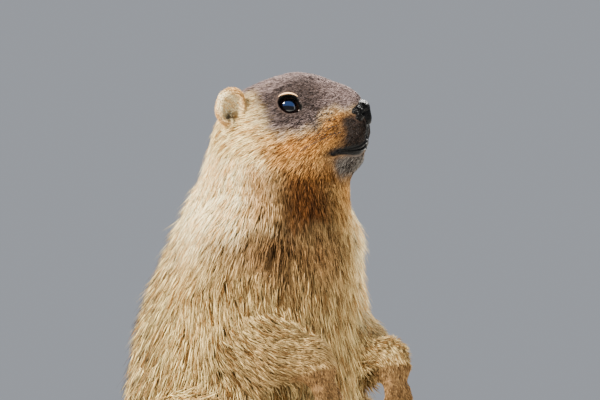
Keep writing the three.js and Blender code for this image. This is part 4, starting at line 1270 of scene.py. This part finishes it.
class MARMOT_OT_whiskers(bpy.types.Operator):
    """Whiskers in rows on both pads, each out of a small dark root"""

    bl_idname = "marmot.whiskers"
    bl_label = "Whiskers"

    def execute(self, context):
        tree = skin_tree()
        chance = np.random.default_rng(31)
        roots, ways, ups, lengths = [], [], [], []
        first, step, shift = WHISKER_PLACES
        shortest, gain = WHISKER_LENGTHS
        for side in (-1, 1):
            for row, (w, count) in enumerate(WHISKER_ROWS):
                for i in range(count):
                    u = first - step * i - shift * row + chance.normal(0, 0.2)
                    start = from_head(u, side * 40, w + 0.25 * i)
                    inward = head_vector(0.0, -float(side), 0.0)
                    place, normal, _, _ = tree.ray_cast(Vector(start), Vector(inward))
                    if place is None:
                        continue
                    roots.append(place)
                    ups.append(normal)
                    ways.append(head_vector(-1.0, 0.5 * side, -0.35 + chance.normal(0, 0.12)))
                    lengths.append((shortest + gain * i + chance.normal(0, 2)) * MM)
        root, up, way = (np.array(a, float) for a in (roots, ups, ways))
        way = unit(way - up * (way * up).sum(axis=1)[:, None])
        every = np.ones(len(root))
        curl = chance.normal(0, 0.05, len(root))
        material = bare_material("marmot_whisker", linear(40, 33, 30), 0.45)
        for name, sink, length, width, settle, bend, rings in (
            ("whiskers", 0.4, np.array(lengths), 0.13, 0.05, curl, 8),
            ("whisker_roots", 0.3, 2.4 * MM * every, 0.42, 0.4, 0 * every, 3),
        ):
            lie = (width * MM * every, 0.9 * every, settle * every, bend)
            corners, _ = ring_tufts(root - up * sink * MM, way, up, length, *lie, rings)
            mesh = joined_mesh(name, corners, *ring_faces(rings))
            mesh_object(name, mesh, material)
        return {"FINISHED"}


class MARMOT_OT_claws(bpy.types.Operator):
    """Smooth dark claws on the fore and hind feet"""

    bl_idname = "marmot.claws"
    bl_label = "Claws"

    def execute(self, context):
        material = bare_material(
            "marmot_claw", linear(58, 46, 40), 0.38, grain=900.0, bump=0.06 * MM, Specular_IOR_Level=0.5
        )
        for foot in ("fore", "hind"):
            names = [n for n in node_names("claw") if foot in n]
            round_off = {"levels": 2, "render_levels": 2}
            mesh = finished(scratch("claws", mesh_of(node_copies(names), "claws"), SUBSURF=round_off))
            mesh.shade_smooth()
            made = mesh_object("claws_" + foot, mesh, material)
            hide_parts(*names)
        return {"FINISHED"}


# Studio

# Each light: metres to the right of the animal, towards the camera and up, its size, its share of the main
# light's power, and its colour
LIGHTS = {
    "key": (-1.35, 1.25, 1.5, 0.5, 1, (1, 0.94, 0.84)),
    "catchlight": (-0.18, 0.72, 0.95, 2.8, 45 / 290, (0.1, 0.32, 1)),
    "fill": (1.5, 1.1, 0.4, 1.2, 0.05, (0.95, 0.97, 1)),
    "rim": (0.4, -1.4, 1.1, 0.8, 0.35, (1, 0.97, 0.92)),
}


def aim_at(thing, target):
    thing.rotation_euler = (Vector(target) - thing.location).to_track_quat("-Z", "Y").to_euler()


class MARMOT_OT_studio(bpy.types.Operator):
    """A plain pale floor, soft light and the camera"""

    bl_idname = "marmot.studio"
    bl_label = "Studio"

    def execute(self, context):
        studio = settings()[2]
        scene = bpy.context.scene
        right = Vector((math.cos(studio.azimuth), math.sin(studio.azimuth), 0))
        toward = Vector((math.sin(studio.azimuth), -math.cos(studio.azimuth), 0))
        toward_camera = toward * math.cos(studio.elevation) + Vector((0, 0, math.sin(studio.elevation)))
        aim = right * studio.aim_right + Vector((0, 0, studio.aim_height))
        camera = added("camera", bpy.data.cameras.new("camera"))
        camera.location = aim + toward_camera * studio.distance
        aim_at(camera, aim)
        camera.data.lens = camera.data.sensor_width * studio.distance / studio.picture_width
        camera.data.dof.use_dof = False
        scene.camera = camera

        floor = bmesh.new()
        bmesh.ops.create_circle(floor, cap_ends=True, segments=96, radius=studio.floor_radius)
        mesh = mesh_of(floor, "floor")
        graph = Graph("studio_floor")
        shade = graph.noise(3.0)
        mesh.materials.append(graph.done(graph.tinted(linear(226, 224, 219), 0.97 + 0.05 * shade), 0.8))
        added("floor", mesh)

        for name, (across, near, high, size, share, colour) in LIGHTS.items():
            place = aim + right * across + toward * near + Vector((0, 0, high))
            lamp = self.light(name, place, size, studio.key_power * share, colour)
            if name == "catchlight":
                self.keep_to_eyes(lamp)
        world = bpy.data.worlds.new("studio")
        world.use_nodes = True
        background = world.node_tree.nodes["Background"]
        background.inputs["Color"].default_value = (0.86, 0.91, 1.0, 1)
        background.inputs["Strength"].default_value = studio.sky
        scene.world = world
        return {"FINISHED"}

    def light(self, name, place, size, power, colour):
        data = bpy.data.lights.new(name, "AREA")
        data.size, data.energy, data.color = size, power, colour
        lamp = added(name, data)
        lamp.location = place
        aim_at(lamp, (0, 0, 0.2))
        return lamp

    def keep_to_eyes(self, lamp):
        """Makes a light broad and lets it reach only the eyes, for the sky's reflection in them."""
        lamp.data.shape, lamp.data.size_y = "RECTANGLE", 1.3
        only = bpy.data.collections.new("eyes")
        for name, made in bpy.data.objects.items():
            if name.startswith("eyeball"):
                only.objects.link(made)
        lamp.light_linking.receiver_collection = only


class MARMOT_PT_panel(bpy.types.Panel):
    """Lists the marmot's pieces, sizes and colours"""

    bl_idname = "MARMOT_PT_panel"
    bl_label = "Steppe Marmot"
    bl_space_type = "VIEW_3D"
    bl_region_type = "UI"
    bl_category = "Marmot"

    def draw(self, context):
        for operator in OPERATORS:
            self.layout.operator(operator.bl_idname)
        for group in settings():
            box = self.layout.box()
            for name in group.bl_rna.properties.keys():
                if name not in ("rna_type", "name"):
                    box.prop(group, name)


OPERATORS = (
    MARMOT_OT_skin, MARMOT_OT_coat, MARMOT_OT_eyes, MARMOT_OT_nose, MARMOT_OT_mouth, MARMOT_OT_whiskers,
    MARMOT_OT_claws, MARMOT_OT_studio,
)
GROUPS = {"marmot_colours": CoatColours, "marmot_coat": CoatSizes, "marmot_studio": StudioSizes}


def register():
    for kind in (*GROUPS.values(), *OPERATORS, MARMOT_PT_panel):
        bpy.utils.register_class(kind)
    for name, group in GROUPS.items():
        setattr(bpy.types.Scene, name, PointerProperty(type=group))


def unregister():
    for name in GROUPS:
        delattr(bpy.types.Scene, name)
    for kind in (MARMOT_PT_panel, *reversed(OPERATORS), *GROUPS.values()):
        bpy.utils.unregister_class(kind)


def main():
    register()
    for operator in OPERATORS:
        family, piece = operator.bl_idname.split(".")
        getattr(getattr(bpy.ops, family), piece)()


if __name__ == "__main__":
    main()
